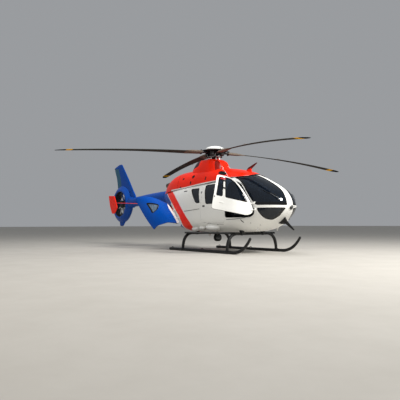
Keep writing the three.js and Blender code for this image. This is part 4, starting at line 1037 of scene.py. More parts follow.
def skidAndStep(side, hand, s):
    y = side * s["halfTrack"]
    bend = bezier([[2000, y, 45], [2330, y, 45], [2560, y, 190], [2745, y, 480]], 26)
    straight = np.stack([np.linspace(s["rear"], 1960, 30), np.full(30, y), np.full(30, 45.0)], -1)
    path, radii = roundedEnds(np.concatenate([straight, bend]), s["radius"])
    radii = radii * np.interp(path[:, 0], [2450, 2745], [1, 0.8])
    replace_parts(slottedPiece("skid_tube_" + hand, tubeRings(path, radii, 32, (0, 1, 0)), skidEnamel),
                "skid_" + hand)
    # Boarding step: a channel with its flanges down, closed at both ends
    y0, y1 = s["stepY"]
    z0, z1 = s["stepZ"]
    section = [[y0, z0], [y0 + 9, z0], [y0 + 9, z1 - 12], [y1 - 9, z1 - 12], [y1 - 9, z0], [y1, z0], [y1, z1], [y0, z1]]
    ring = rounded(section, 3, 3)
    x = np.linspace(*s["stepX"], 90)
    rings = np.stack([x[:, None] + 0 * ring[:, 0], side * ring[:, 0] + 0 * x[:, None], ring[:, 1] + 0 * x[:, None]], -1)
    points = rings.reshape(-1, 3)
    faces = gridFaces(len(x), len(ring), ends=False)
    caps = np.arange(len(ring))
    faces += [caps[None, ::-1], (caps + (len(x) - 1) * len(ring))[None]]
    step = newPiece("step_board_" + hand, toRow(points), outwardVolume(points - points.mean(0), faces), "airframe",
                    skidEnamel, sharp=30)
    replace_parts(step, "boarding_step_" + hand)
    # Grit strip on the tread, with a pale edge
    low, high = (s["stepX"][0] + 20, y0 + 14, z1 - 4), (s["stepX"][1] - 20, y1 - 24, z1 + 3)
    strip = roundedBox(low, high, 3) * (1, side, 1)
    slottedPiece("step_tread_" + hand, strip, floorRubber)
    edge = roundedBox((s["stepX"][0] + 6, y1 - 7, z1 - 16), (s["stepX"][1] - 6, y1 + 2, z1 - 5), 3) * (1, side, 1)
    slottedPiece("step_edge_" + hand, edge, castAlloy)
    for k, x in enumerate(s["cross"].values()):
        post = roundedBox((x - 25, 830 - 25, 512), (x + 25, 830 + 25, z1 - 14), 6) * (1, side, 1)
        slottedPiece(f"step_post_{hand}_{k + 1}", post, skidEnamel)
    # Towing lugs on top of the skid
    for k, x in enumerate((-980, 620)):
        lug = bezier([[x - 46, y, 78], [x - 40, y, 128], [x + 40, y, 128], [x + 46, y, 78]], 20)
        slottedPiece(f"skid_lug_{hand}_{k + 1}", tubeRings(lug, 9, 16, (0, 1, 0)), skidEnamel)


def crossTube(place, x, s):
    leg = bezier([[x, -1010, 60], [x, -1004, 250], [x, -960, 560], [x, -640, 562]], 30)
    path = np.concatenate([leg, np.stack([np.full(20, x), np.linspace(-600, 600, 20), np.full(20, 562.0)], -1),
                           leg[::-1] * (1, -1, 1)])
    swell = 12 * np.sin(np.linspace(0, np.pi, 30)) ** 0.5  # a sleeve thickens each leg
    radii = s["crossRadius"] + np.concatenate([swell, np.zeros(20), swell])
    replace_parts(slottedPiece(place + "_arch", tubeRings(path, radii, 28, (1, 0, 0)), skidEnamel),
                place + "_cross_tube")
    for side, hand in sides:
        y = side * s["halfTrack"]
        socket = np.stack([np.linspace(x - 75, x + 75, 8), np.full(8, y), np.full(8, 45.0)], -1)
        rings = tubeRings(socket, [50, 58, 61, 61, 61, 61, 58, 50], 32, (0, 0, 1))
        rings[..., 2] = np.maximum(rings[..., 2], 0.05)
        slottedPiece(f"{place}_socket_{hand}", rings, skidEnamel)
        saddle = roundedBox((x - 55, 430 - 50, 556), (x + 55, 430 + 50, 668), 8) * (1, side, 1)
        slottedPiece(f"{place}_saddle_{hand}", saddle, skidEnamel)
        clamp = np.stack([np.full(6, x), side * np.linspace(395, 465, 6), np.full(6, 562.0)], -1)
        slottedPiece(f"{place}_clamp_{hand}", tubeRings(clamp, [41, 45, 46, 46, 45, 41], 28, (1, 0, 0)), hubAlloy)


for side, hand in sides:
    skidAndStep(side, hand, skidSettings)
for place, x in skidSettings["cross"].items():
    crossTube(place, x, skidSettings)
print("undercarriage made")


# Main rotor
rotorSettings = {"turn": -13.1, "bladeZ": 3217, "radius": 5100, "armEnd": 465, "droops": (370, 420, 370, 230),
                 "capRadius": 315, "bladeBulk": 1.35}
# Radius, chord, thickness, twist in degrees, sweep
bladeStations = np.array([[5100, 130, 12, -2, 65], [4950, 230, 24, -2, 25], [4700, 284, 29, -1, 0],
                          [4000, 286, 31, 1, 0],
                          [2600, 288, 34, 5, 0], [1050, 290, 46, 12, 0], [800, 215, 84, 13, 0], [465, 190, 96, 13, 0]])


def rotated(points, degrees):
    c, s = np.cos(radians(degrees)), np.sin(radians(degrees))
    p = np.asarray(points, float)
    return np.stack([p[..., 0] * c - p[..., 1] * s, p[..., 0] * s + p[..., 1] * c, p[..., 2]], -1)


def rotorPiece(name, rings, turn, material, attributes=None, sharp=35):
    piece = loftPiece(name, rotated(rings, turn), "main_rotor", material, attributes, sharp=sharp)
    return piece


def rotorHub(s):
    turn, squared = s["turn"], lambda t: bent(t, 0.5)
    mast = turnedRings(softProfile([[0.5, 2762], [62, 2762], [62, 3045], [66, 3048], [66, 3160]], 3), 40)
    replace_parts(rotorPiece("rotor_mast", mast, turn, polishedSteel), "rotor_hub")
    plate = turnedRings(softProfile([[0.5, 3045], [205, 3045], [225, 3065], [225, 3090], [150, 3120], [0.5, 3120]], 10),
                        64)
    rotorPiece("swash_plate", plate, turn, castAlloy)
    collar = turnedRings(softProfile([[0.5, 3008], [120, 3008], [135, 3020], [135, 3040], [0.5, 3044]], 8), 56)
    rotorPiece("swash_collar", collar, turn, hubAlloy)
    core = turnedRings(softProfile([[0.5, 3150], [150, 3150], [185, 3180], [185, 3270], [140, 3296], [0.5, 3296]], 14),
                       64)
    rotorPiece("hub_core", core, turn, hubAlloy)
    disc = turnedRings(softProfile([[0.5, 3262], [400, 3262], [438, 3270], [440, 3282], [330, 3294], [0.5, 3295]], 8),
                       80)
    rotorPiece("hub_plate", disc, turn, hubAlloy)
    r = s["capRadius"]
    cap = turnedRings(softProfile([[0.5, 3297], [r - 17, 3297], [r, 3318], [r - 12, 3350], [r - 57, 3388], [170, 3415],
                                   [70, 3430], [0.5, 3434]], 30, 6), 72)
    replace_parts(rotorPiece("hub_cap_dome", cap, turn, topcoatWhite), "hub_cap")
    for k in range(12):
        bolt = turnedRings([[0.5, 3322], [9, 3322], [9, 3346], [7, 3350], [0.5, 3350]], 12) + (r - 22, 0, 0)
        rotorPiece(f"cap_bolt_{k + 1}", bolt, turn + 30 * k, polishedSteel)
    a = fullTurn(32)
    for k in range(4):
        at = turn + 90 * k
        reach = np.linspace(130, s["armEnd"], 16)
        wide = np.interp(reach, [130, 250, 400, s["armEnd"]], [70, 66, 78, 75])
        rings = np.stack([reach[:, None] + 0 * a, wide[:, None] * squared(np.cos(a)),
                          s["bladeZ"] + 30 * squared(np.sin(a)) + 0 * reach[:, None]], -1)
        rotorPiece(f"hub_arm_{k + 1}", rings, at, hubAlloy)
        link = np.linspace([205, -95, 3060], [240, -100, 3180], 8)
        rotorPiece(f"pitch_link_{k + 1}", tubeRings(link, [13, 13, 11, 11, 11, 11, 13, 13], 20, (1, 0, 0)), at,
                   polishedSteel)
        for name, end in (("low", link[0]), ("high", link[-1])):
            eye = turnedRings(softProfile([[0.5, -17], [20, -17], [24, 0], [20, 17], [0.5, 17]], 5), 24, "y") + end
            rotorPiece(f"link_eye_{name}_{k + 1}", eye, at, hubAlloy)
        horn = np.linspace([240, -100, 3188], [300, -60, 3215], 8)
        rotorPiece(f"pitch_horn_{k + 1}", tubeRings(horn, [20, 22, 22, 24, 26, 28, 28, 24], 20, (0, 0, 1)), at,
                   hubAlloy)
        damper = softProfile([[0.5, 3098], [58, 3098], [72, 3112], [80, 3150], [72, 3168], [86, 3184], [72, 3204],
                              [86, 3222], [78, 3252], [0.5, 3262]], 8)
        rotorPiece(f"lag_damper_{k + 1}", turnedRings(damper, 36) + (250, 0, 0), at + 45, rubberSeal)
        for name, across in (("inner", 42), ("outer", -42)):
            pin = turnedRings(softProfile([[0.5, 3146], [22, 3146], [22, 3284], [16, 3290], [0.5, 3290]], 4), 24)
            rotorPiece(f"blade_pin_{name}_{k + 1}", pin + (500, across, 0), at, hubAlloy)
    for k in range(2):
        for name, path in (("low", [[140, 0, 3085], [290, 0, 3120]]), ("high", [[290, 0, 3120], [180, 0, 3175]])):
            path, radii = roundedEnds(np.linspace(*path, 8), 20)
            rotorPiece(f"scissor_{name}_{k + 1}", tubeRings(path, radii, 20, (0, 1, 0)), turn + 45 + 180 * k, hubAlloy)


def rotorBlade(k, droop, s):
    t, h = wingSection(30)
    r = np.concatenate([np.linspace(s["armEnd"] + 0.5, 1100, 26)[:-1], np.linspace(1100, 4700, 50)[:-1],
                        np.linspace(4700, 5092, 20), [5097, 5100]])

    def sections(r, grow=0):
        chord, thick, twist, sweep = smooth(bladeStations, r)
        twist = np.radians(twist)[:, None]
        ahead = (0.3 - t) * (chord[:, None] + 2 * grow) - sweep[:, None] + grow * 0.4
        up = h * (thick[:, None] * s["bladeBulk"] + 2 * grow)
        z = s["bladeZ"] - droop * (r / s["radius"])[:, None] ** 2
        return np.stack([r[:, None] + 0 * t, ahead * np.cos(twist) - up * np.sin(twist),
                         z + ahead * np.sin(twist) + up * np.cos(twist)], -1)
    rings = sections(r)
    spread = lambda v: np.broadcast_to(v, rings.shape[:2]).copy()
    blade = rotorPiece(f"blade_{k + 1}", rings, s["turn"] + 90 * k, bladeSkin,
                       {"chord": spread(t), "reach": spread(r[:, None] / 1000)})
    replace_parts(blade, f"rotor_blade_{k + 1}")
    r = np.array([470, 474, 480, 560, 640, 720, 850, 950, 1000, 1040, 1060.0])
    grow = np.array([4, 14, 22, 30, 34, 34, 30, 20, 11, 5, 1.0])
    cuff = np.stack([sections(r[i:i + 1], grow[i])[0] for i in range(len(r))])
    rotorPiece(f"blade_cuff_{k + 1}", cuff, s["turn"] + 90 * k, cuffFinish)
    r = np.linspace(2300, 2420, 8)
    # Trim tab behind the trailing edge
    ahead = (-0.695 - np.array([0, 0.16, 0.16, 0])) * 288
    up = np.array([2.5, 1, -1, -2.5])
    z = s["bladeZ"] - droop * (r / s["radius"])[:, None] ** 2 + ahead * np.sin(0.06)
    tab = np.stack([r[:, None] + 0 * ahead, ahead + 0 * r[:, None], z + up], -1)
    rotorPiece(f"blade_tab_{k + 1}", tab, s["turn"] + 90 * k, bladeEdgeTan)


rotorHub(rotorSettings)
for k, droop in enumerate(rotorSettings["droops"]):
    rotorBlade(k, droop, rotorSettings)
print("rotor made")


# Seats and what stands in the cabin
seatSettings = {"floor": 800.3, "places": {"pilot_seat": (1500, -370), "copilot_seat": (1500, 370),
                                           "rear_seat_right": (250, -330), "rear_seat_left": (250, 330)},
                "cushion": {"low": (8, -188, 322), "high": (418, 188, 402), "round": 34},
                "back": {"low": (0, -178, 0), "high": (74, 178, 590), "round": 30},
                "voxel": 6, "pressure": 4.0, "cap": 24, "frames": 20, "channels": (-62, 62), "channelDepth": 9}


def remeshed(obj, voxel):
    change = obj.modifiers.new("even", "REMESH")
    change.mode, change.voxel_size = "VOXEL", voxel / 1000
    made = bpy.data.meshes.new_from_object(obj.evaluated_get(bpy.context.evaluated_depsgraph_get()))
    obj.modifiers.clear()
    obj.data = made


def meshPoints(mesh):
    flat = np.empty(len(mesh.vertices) * 3, np.float32)
    mesh.vertices.foreach_get("co", flat)
    return flat.reshape(-1, 3)


def sewnPad(name, rings, shape, s):
    # A stuffed cover: the plain pad is remeshed, blown up as cloth by inner pressure with no gravity, each point's
    # way capped, then bent into place by shape. Returns its points and faces, in mm before it is moved to a seat.
    obj = loftPiece(name, rings, "airframe", seatCloth, place=lambda p: p / 1000)
    remeshed(obj, s["voxel"])
    start = meshPoints(obj.data)
    points = start.copy()
    cloth = obj.modifiers.new("cover", "CLOTH")
    cloth.settings.use_pressure = True
    cloth.settings.uniform_pressure_force = s["pressure"]
    cloth.settings.effector_weights.gravity = 0
    cloth.point_cache.frame_start, cloth.point_cache.frame_end = 1, s["frames"]
    for frameNumber in range(1, s["frames"] + 1):
        bpy.context.scene.frame_set(frameNumber)
    blown = obj.evaluated_get(bpy.context.evaluated_depsgraph_get()).to_mesh()
    move = meshPoints(blown) - start
    far = np.linalg.norm(move, axis=1)[:, None]
    points = start + move * np.minimum(1, s["cap"] / 1000 / np.maximum(far, 1e-9))
    bpy.context.scene.frame_set(1)
    counts = np.empty(len(obj.data.polygons), np.int32)
    obj.data.polygons.foreach_get("loop_total", counts)
    corners = np.empty(len(obj.data.loops), np.int32)
    obj.data.loops.foreach_get("vertex_index", corners)
    faces = corners.reshape(-1, 4) if (counts == 4).all() else None
    mesh = obj.data
    bpy.data.objects.remove(obj)
    bpy.data.meshes.remove(mesh)
    return shape(points * 1000), faces


def channelled(depth, points, side, s):
    # Two sewn channels along the pad: a narrow hollow on the side that is sat on
    groove = sum(np.exp(-((points[:, 1] - y) / 7) ** 2) for y in s["channels"])
    return depth * groove * side


def seatPads(s):
    box = s["cushion"]
    across = roundedBox(box["low"], box["high"], box["round"], 6)

    def cushionShape(p):
        # The thigh end rolls down and the rear dips
        top = np.clip((p[:, 2] - 350) / 40, 0, 1)
        p[:, 2] += -26 * np.clip((p[:, 0] - 300) / 130, 0, 1.2) ** 2 - channelled(s["channelDepth"], p, top, s)
        return p
    cushion = sewnPad("cushion_start", across, cushionShape, s)
    box = s["back"]
    upright = roundedBox(box["low"], box["high"], box["round"], 6)

    def backShape(p):
        # Leans back along the shell, narrows to the head and holds the small of the back
        rise = p[:, 2] / 590
        front = np.clip((p[:, 0] - 40) / 30, 0, 1)
        p[:, 1] *= 1 - 0.16 * np.clip(rise - 0.55, 0, 1) ** 1.2 / 0.4
        p[:, 0] += front * (14 * np.exp(-((rise - 0.25) / 0.2) ** 2) - channelled(s["channelDepth"], p, 1, s))
        p[:, 0] += 4 - 72 * rise
        p[:, 2] += 428
        return p
    return cushion, sewnPad("back_start", upright, backShape, s)


def seatShell(name, x, y, s):
    # Bucket: one sheet under the cushion and up behind the back, its sides drawn forward
    line = np.array([[430, 302], [300, 300], [150, 296], [40, 294], [-10, 300], [-34, 325], [-44, 380], [-60, 500],
                     [-76, 650], [-92, 820], [-100, 950], [-98, 1030], [-90, 1068]])
    t = np.linspace(0, len(line) - 1, 70)
    u, v = np.interp(t, np.arange(len(line)), line[:, 0]), np.interp(t, np.arange(len(line)), line[:, 1])
    across = np.linspace(-1, 1, 41)
    wide = np.interp(v, [300, 420, 900, 1070], [208, 205, 190, 150])
    lift = 30 * np.abs(across) ** 5
    up = np.interp(v, [300, 340], [1, 0])[:, None]
    points = np.stack([x + u[:, None] + lift * (1 - up), y + wide[:, None] * across,
                       s["floor"] + v[:, None] + lift * up], -1)
    faces = gridFaces(len(u), len(across), closed=False, ends=False)
    flat = points.reshape(-1, 3)
    faces = faceOutward(flat, faces, lambda c: c * 0 + (x + 250, y, s["floor"] + 800))
    shell = newPiece(name + "_shell", toRow(flat), faces, "airframe", shellPlastic)
    finish(shell, 12, 3, offset=1)


def seat(name, x, y, pads, s):
    seatShell(name, x, y, s)
    move = np.array([x, y, s["floor"]])
    for part, (points, faces) in zip(("cushion", "back"), pads):
        pad = newPiece(f"{name}_{part}", toRow(points + move), [faces], "airframe", seatCloth, sharp=180)
        smoothed = pad.modifiers.new("smooth", "SUBSURF")
        smoothed.levels = smoothed.render_levels = 1
        if part == "cushion":
            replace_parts(pad, name)
    # Shoulder straps, laid on the back's front face
    points = pads[1][0]
    for k, across in enumerate((-78, 78)):
        v = np.linspace(1010, 470, 40)
        near = np.exp(-(((points[None, :, 1] - across * 0.9) / 14) ** 2
                        + ((points[None, :, 2] - v[:, None]) / 14) ** 2))
        u = np.where(near > 0.3, points[None, :, 0], -200).max(1) + 5
        a = fullTurn(16)
        flat = lambda t: bent(t, 0.4)
        rings = np.stack([x + u[:, None] + 1.6 * flat(np.sin(a)),
                          y + across * 0.9 + 23 * flat(np.cos(a)) + 0 * u[:, None],
                          s["floor"] + v[:, None] + 0 * a], -1)
        slottedPiece(f"{name}_strap_{k + 1}", rings, webbing)
    for k, across in enumerate((-150, 150)):
        rail = roundedBox((x + 10, y + across - 16, s["floor"]), (x + 400, y + across + 16, s["floor"] + 26), 5)
        slottedPiece(f"{name}_rail_{k + 1}", rail, castAlloy)
        for j, (foot, head) in enumerate(((40, 20), (340, 330))):
            leg = np.linspace([x + foot, y + across, s["floor"] + 14], [x + head, y + across, s["floor"] + 300], 10)
            slottedPiece(f"{name}_leg_{k + 1}_{j + 1}", tubeRings(leg, 14, 20, (0, 1, 0)), hubAlloy)


pads = seatPads(seatSettings)
for name, (x, y) in seatSettings["places"].items():
    seat(name, x, y, pads, seatSettings)
print("seats made")

cockpitSettings = {"screens": (-222, -74, 74, 222)}


def cockpit(s):
    # Glareshield over the panel, four screens on its rear face, controls
    x, across = np.meshgrid(np.linspace(2440, 2790, 24), np.linspace(-1, 1, 40), indexing="ij")
    points = np.stack([x, across * np.interp(x, [2440, 2790], [345, 300]),
                       np.interp(x, [2440, 2560, 2790], [1502, 1512, 1440]) - 34 * np.abs(across) ** 4], -1)
    flat = points.reshape(-1, 3)
    faces = faceOutward(flat, gridFaces(24, 40, closed=False, ends=False), lambda c: c - (0, 0, 500))
    hood = newPiece("glareshield", toRow(flat), faces, "airframe", panelBlack)
    finish(hood, 14, 4)
    for k, y in enumerate(s["screens"]):
        bezel = roundedBox((2516, y - 66, 1290), (2537, y + 66, 1452), 7)
        screen = roundedBox((2511, y - 54, 1304), (2519, y + 54, 1438), 3)
        for name, rings, material in (("bezel", bezel, shellPlastic), ("screen", screen, lampGlass)):
            slottedPiece(f"{name}_{k + 1}", rings, material)
    for k in range(18):
        row, column = divmod(k, 3)
        knob = turnedRings(softProfile([[0.5, 0], [11, 0], [10, 16], [0.5, 18]], 3), 16)
        slottedPiece(f"pedestal_knob_{k + 1}", knob + (2120 + 45 * row, -45 + 45 * column, 1008), shellPlastic)
    for side, hand in sides:
        y = side * 370
        stick = bezier([[2080, y, 800], [2110, y, 950], [1990, y, 1010], [2010, y, 1165]], 30)
        radii = np.interp(np.arange(30), [0, 20, 22, 29], [14, 12, 20, 17])
        slottedPiece("cyclic_stick_" + hand, tubeRings(stick, radii, 20, (0, 1, 0)), shellPlastic)
        inboard = y - side * 245
        lever = np.linspace([1480, inboard, 850], [1850, inboard, 1010], 20)
        radii = np.interp(np.arange(20), [0, 13, 14, 19], [11, 11, 18, 16])
        slottedPiece("collective_lever_" + hand, tubeRings(lever, radii, 20, (0, 1, 0)), shellPlastic)
        for k, across in enumerate((-90, 90)):
            pedal = roundedBox((2405, y + across - 42, 880), (2425, y + across + 42, 990), 6)
            slottedPiece(f"pedal_{hand}_{k + 1}", pedal, castAlloy)
            arm = np.linspace([2425, y + across, 900], [2560, y + across, 820], 8)
            slottedPiece(f"pedal_arm_{hand}_{k + 1}", tubeRings(arm, 9, 16, (0, 1, 0)), hubAlloy)


cockpit(cockpitSettings)
print("cockpit made")


# Fittings on the skin
def angleAt(surface, x, z, side):
    # The surface's angle at a station where it reaches height z on one side
    a = np.linspace(radians(-88), radians(88), 900)
    a = a if side > 0 else np.pi - a
    heights = surface(x + 0 * a, a)[:, 2]
    return np.interp(z, heights, a)


def skinPoint(surface, x, z, side, proud=0):
    # Point on the surface at (x, z) and the direction out of it
    angle = angleAt(surface, x, z, side)
    u, v = np.array([x - 2, x + 2, x, x, x]), np.array([angle, angle, angle - 0.004, angle + 0.004, angle])
    p = surface(u, v)
    out = np.cross(p[1] - p[0], p[3] - p[2])
    out /= np.linalg.norm(out)
    out *= np.sign(out[1]) * side
    return p[4] + out * proud, out


def skinPath(surface, places, side, proud=0, count=40):
    # Points on the surface along a path given as (x, z) places
    places = np.asarray(places, float)
    walk = np.concatenate([[0], np.cumsum(np.hypot(*np.diff(places, axis=0).T))])
    t = np.linspace(0, walk[-1], count)
    x, z = np.interp(t, walk, places[:, 0]), np.interp(t, walk, places[:, 1])
    return np.array([skinPoint(surface, px, pz, side, proud)[0] for px, pz in zip(x, z)])


def skinPad(name, surface, x, z, side, reach, proud, material, body="airframe", place=None, corner=3.0, dome=0.5,
            crown=2.0, tilt=0, sink=6):
    # A pad on the surface: super-ellipse of half sizes reach (along x, up the skin), turned by tilt degrees.
    # Height over the surface = proud * (1 - rho^crown)^dome from the middle (rho 0) to the rim (rho 1).
    angle = angleAt(surface, x, z, side)
    radius = np.linalg.norm(surface(np.array([x]), np.array([angle + 0.01]))[0]
                            - surface(np.array([x]), np.array([angle]))[0]) / 0.01
    a = fullTurn(56)
    bend = lambda w: bent(w, 2 / corner)
    rho = np.concatenate([[1.0], np.cos(np.linspace(0, np.pi / 2 - 0.03, 14))])[:, None]
    high = np.concatenate([[-sink], proud * (1 - rho[1:, 0] ** crown) ** dome])[:, None]
    s, t = rho * bend(np.cos(a)) * reach[0], rho * bend(np.sin(a)) * reach[1]
    c, q = np.cos(radians(tilt)), np.sin(radians(tilt))
    s, t = s * c - t * q, s * q + t * c
    u, v = x + s, angle + side * t / radius
    p = surface(u, v)
    du = surface(u + 2, v) - p
    dv = surface(u, v + 0.003) - p
    out = np.cross(du, dv)
    out /= np.linalg.norm(out, axis=-1)[..., None]
    out *= np.sign((out * (p - (x, 0, 1500))).sum())
    rings = p + out * high[..., None]
    pad = loftPiece(name, placedRings(rings, place), body, material)
    return pad


def tubePiece(name, path, radius, material, body="airframe", place=None, lift=(0, 1, 0), count=20):
    path, radii = roundedEnds(path, radius)
    rings = tubeRings(path, radii, count, lift)
    tube = loftPiece(name, placedRings(rings, place), body, material)
    return tube


hingeSettings = {"radius": 14, "length": 30, "strap": 9, "proud": 17, "root": 20,
                 "front": ((-250, 115), (-60, 150)), "clamshell": ((-120, 65), (250, 110))}


def hinges(kind, side, hand, line, body, place, s):
    # Each hinge: a knuckle on a post from the frame, and a knuckle on the door's strap, which dips into its panel
    pivot, axis = (np.asarray(v, float) for v in line(side))
    along = axis / np.linalg.norm(axis)
    toDoor = np.array([-along[2], 0, along[0]])
    toDoor /= np.linalg.norm(toDoor)
    onSkin = lambda p, proud: np.array([p[0], side * (podHalfWidth(p[0], p[2]) + proud), p[2]])
    for k, (where, reach) in enumerate(s[kind]):
        middle = pivot + along * where
        on = lambda d: middle + along * d
        post, strap = on(s["length"] / 2), on(-s["length"] / 2)
        foot, end = onSkin(post - toDoor * 2 * s["radius"], -s["root"]), strap + toDoor * reach
        title = f"{kind}_hinge_{hand}_{k + 1}"
        lift = (1, 0, 0) if abs(along[0]) < 0.7 else (0, 0, 1)
        for part, ends, radius, rides, moved in (
                ("knuckle", (on(0.5), on(s["length"])), s["radius"], "airframe", None),
                ("door_knuckle", (on(-0.5), on(-s["length"])), s["radius"], body, place)):
            rings = tubeRings(np.linspace(*ends, 6), radius * np.array([0.9, 1, 1, 1, 1, 0.9]), 24, lift)
            loftPiece(f"{title}_{part}", placedRings(rings, moved), rides, topcoatWhite)
        tubePiece(title + "_post", np.linspace(post, foot, 6), s["strap"], topcoatWhite, lift=along)
        tubePiece(title + "_strap", np.linspace(strap, onSkin(end, s["proud"]), 8), s["strap"], topcoatWhite,
                  body, place, along)
        tubePiece(title + "_foot", np.linspace(onSkin(end, s["proud"] + s["strap"]), onSkin(end, -s["root"]), 6),
                  s["strap"], topcoatWhite, body, place, along)


for side, hand in sides:
    hinges("front", side, hand, frontHinge, "front_door_" + hand[0], frontDoorPlace(side), hingeSettings)
    hinges("clamshell", side, hand, clamshellHinge, "clamshell_" + hand[0], clamshellPlace(side), hingeSettings)

# Name, x, z, half length, half height, proud, finish, slot, corner, crown, tilt
cabinPads = (
    ("float_cover_rear", -215, 712, 190, 70, 105, topcoatWhite, "white_paint", 2.4, 2.2, 3),
    ("float_cover_middle", 190, 748, 145, 48, 85, topcoatWhite, "white_paint", 2.4, 2.2, 0),
    ("float_cover_front", 735, 752, 320, 88, 115, topcoatWhite, "white_paint", 2.4, 2.4, -2),
    ("slide_handle", 377, 1417, 62, 26, 7, rubberSeal, "black_paint", 3, 4, 0),
    ("slide_lock", 622, 1380, 24, 20, 7, topcoatWhite, "white_paint", 3, 4, 0),
    ("ground_socket", 198, 1858, 26, 36, 9, castAlloy, "alloy_casting", 3.4, 5, 0),
    ("fuel_cap", -730, 1951, 105, 15, 9, hubAlloy, "black_paint", 3, 4, 2),
    ("fuel_cap_tick", -809, 2052, 22, 9, 6, hubAlloy, "black_paint", 3, 4, 0),
    ("static_port", 2351, 880, 13, 13, 4, hubAlloy, "black_paint", 2, 4, 0),
    ("drain_mark", 433, 903, 13, 11, 4, hubAlloy, "black_paint", 2, 4, 0),
    ("belly_vent", 2092, 938, 76, 13, 6, hubAlloy, "black_paint", 3, 4, -48),
    ("access_latch_front", 1029, 842, 20, 9, 4, hubAlloy, "black_paint", 3, 4, 0),
    ("door_sill", 1860, 1000, 420, 10, 8, castAlloy, "alloy_casting", 6, 6, 0))
cowlPads = (
    ("oil_inlet", -500, 2430, 66, 62, 5, meshBlack, "black_paint", 2, 8, 0),
    ("vent_front", 200, 2320, 26, 62, 5, meshBlack, "black_paint", 4, 8, 0),
    ("vent_middle", -570, 2225, 34, 52, 5, meshBlack, "black_paint", 4, 8, 0),
    ("vent_rear", -1040, 2395, 40, 40, 5, meshBlack, "black_paint", 4, 8, 0),
    ("vent_low", -1140, 2110, 34, 24, 5, meshBlack, "black_paint", 4, 8, 0),
    ("engine_intake", 915, 2436, 185, 66, 6, meshBlack, "black_paint", 4, 10, -12))
for side, hand in sides:
    for surface, pads in ((podSurface, cabinPads), (cowlSurface, cowlPads)):
        for name, x, z, along, up, proud, material, slot, corner, crown, tilt in pads:
            skinPad(f"{name}_{hand}", surface, x, z, side, (along, up), proud, material, corner=corner,
                    crown=crown, tilt=tilt)
    # A thin white tube down the cowling from the fairing's front: a painted highlight along the cowling's edge
    highlightPath = skinPath(cowlSurface, [(635, 2621), (976, 2480), (1134, 2377), (1202, 2307)], side, 8)
    tubePiece("highlight_strip_" + hand, np.concatenate([[(500, side * 130, 2720)], highlightPath]), 5.5, topcoatWhite)
    # The sliding door's rail and its lower guide
    tubePiece("slide_rail_" + hand, skinPath(podSurface, [(-660, 1282), (-600, 1284), (170, 1337)], side, 0.5), 7.5,
              rubberSeal)
    tubePiece("slide_guide_" + hand, skinPath(podSurface, [(500, 852), (560, 872), (640, 878), (780, 858), (1300, 848)],
                                              side, 0.5), 5, rubberSeal)
    # Door furniture
    place = frontDoorPlace(side)
    body = "front_door_" + hand[0]
    for name, x, z, along, up, proud, material, slot in (
            ("door_latch", 1440, 1405, 16, 20, 7, hubAlloy, "black_paint"),
            ("door_handle", 1655, 1263, 66, 16, 11, topcoatWhite, "white_paint"),
            ("door_lock", 1700, 1107, 15, 15, 6, topcoatWhite, "white_paint"),
            ("mullion_clip_low", 1682, 1700, 52, 27, 9, rubberSeal, "black_paint"),
            ("mullion_clip_high", 1650, 1925, 50, 27, 9, rubberSeal, "black_paint"),
            ("pane_release", 1600, 1990, 85, 34, 12, signalRed, "red_paint")):
        skinPad(f"{name}_{hand}", podSurface, x, z, side, (along, up), proud, material, body, place, crown=4)
    inner = lambda u, v: podSurface(u, v, 44)
    tubePiece("door_pull_" + hand, skinPath(inner, [(1560, 1290), (1600, 1310), (1840, 1310), (1880, 1290)], side, -22),
              9, shellPlastic, body, place)
    # Wiper at the windscreen: arm, blade and pivot
    tubePiece("wiper_arm_" + hand, skinPath(podSurface, [(3135, 1560), (2930, 1696)], side, 9), 5, castAlloy)
    tubePiece("wiper_blade_" + hand, skinPath(podSurface, [(3060, 1650), (2840, 1730), (2700, 1800)], side, 3), 7,
              rubberSeal)
    skinPad("wiper_pivot_" + hand, podSurface, 3150, 1530, side, (20, 20), 16, castAlloy, crown=4)
print("cabin fittings made")

noseSettings = {"lamp": (55, 1307, 76, 64),
                "probe": ((3190, 0, 1345), (3400, 0, 1330), (3470, 0, 1305), (3512, 0, 1290))}


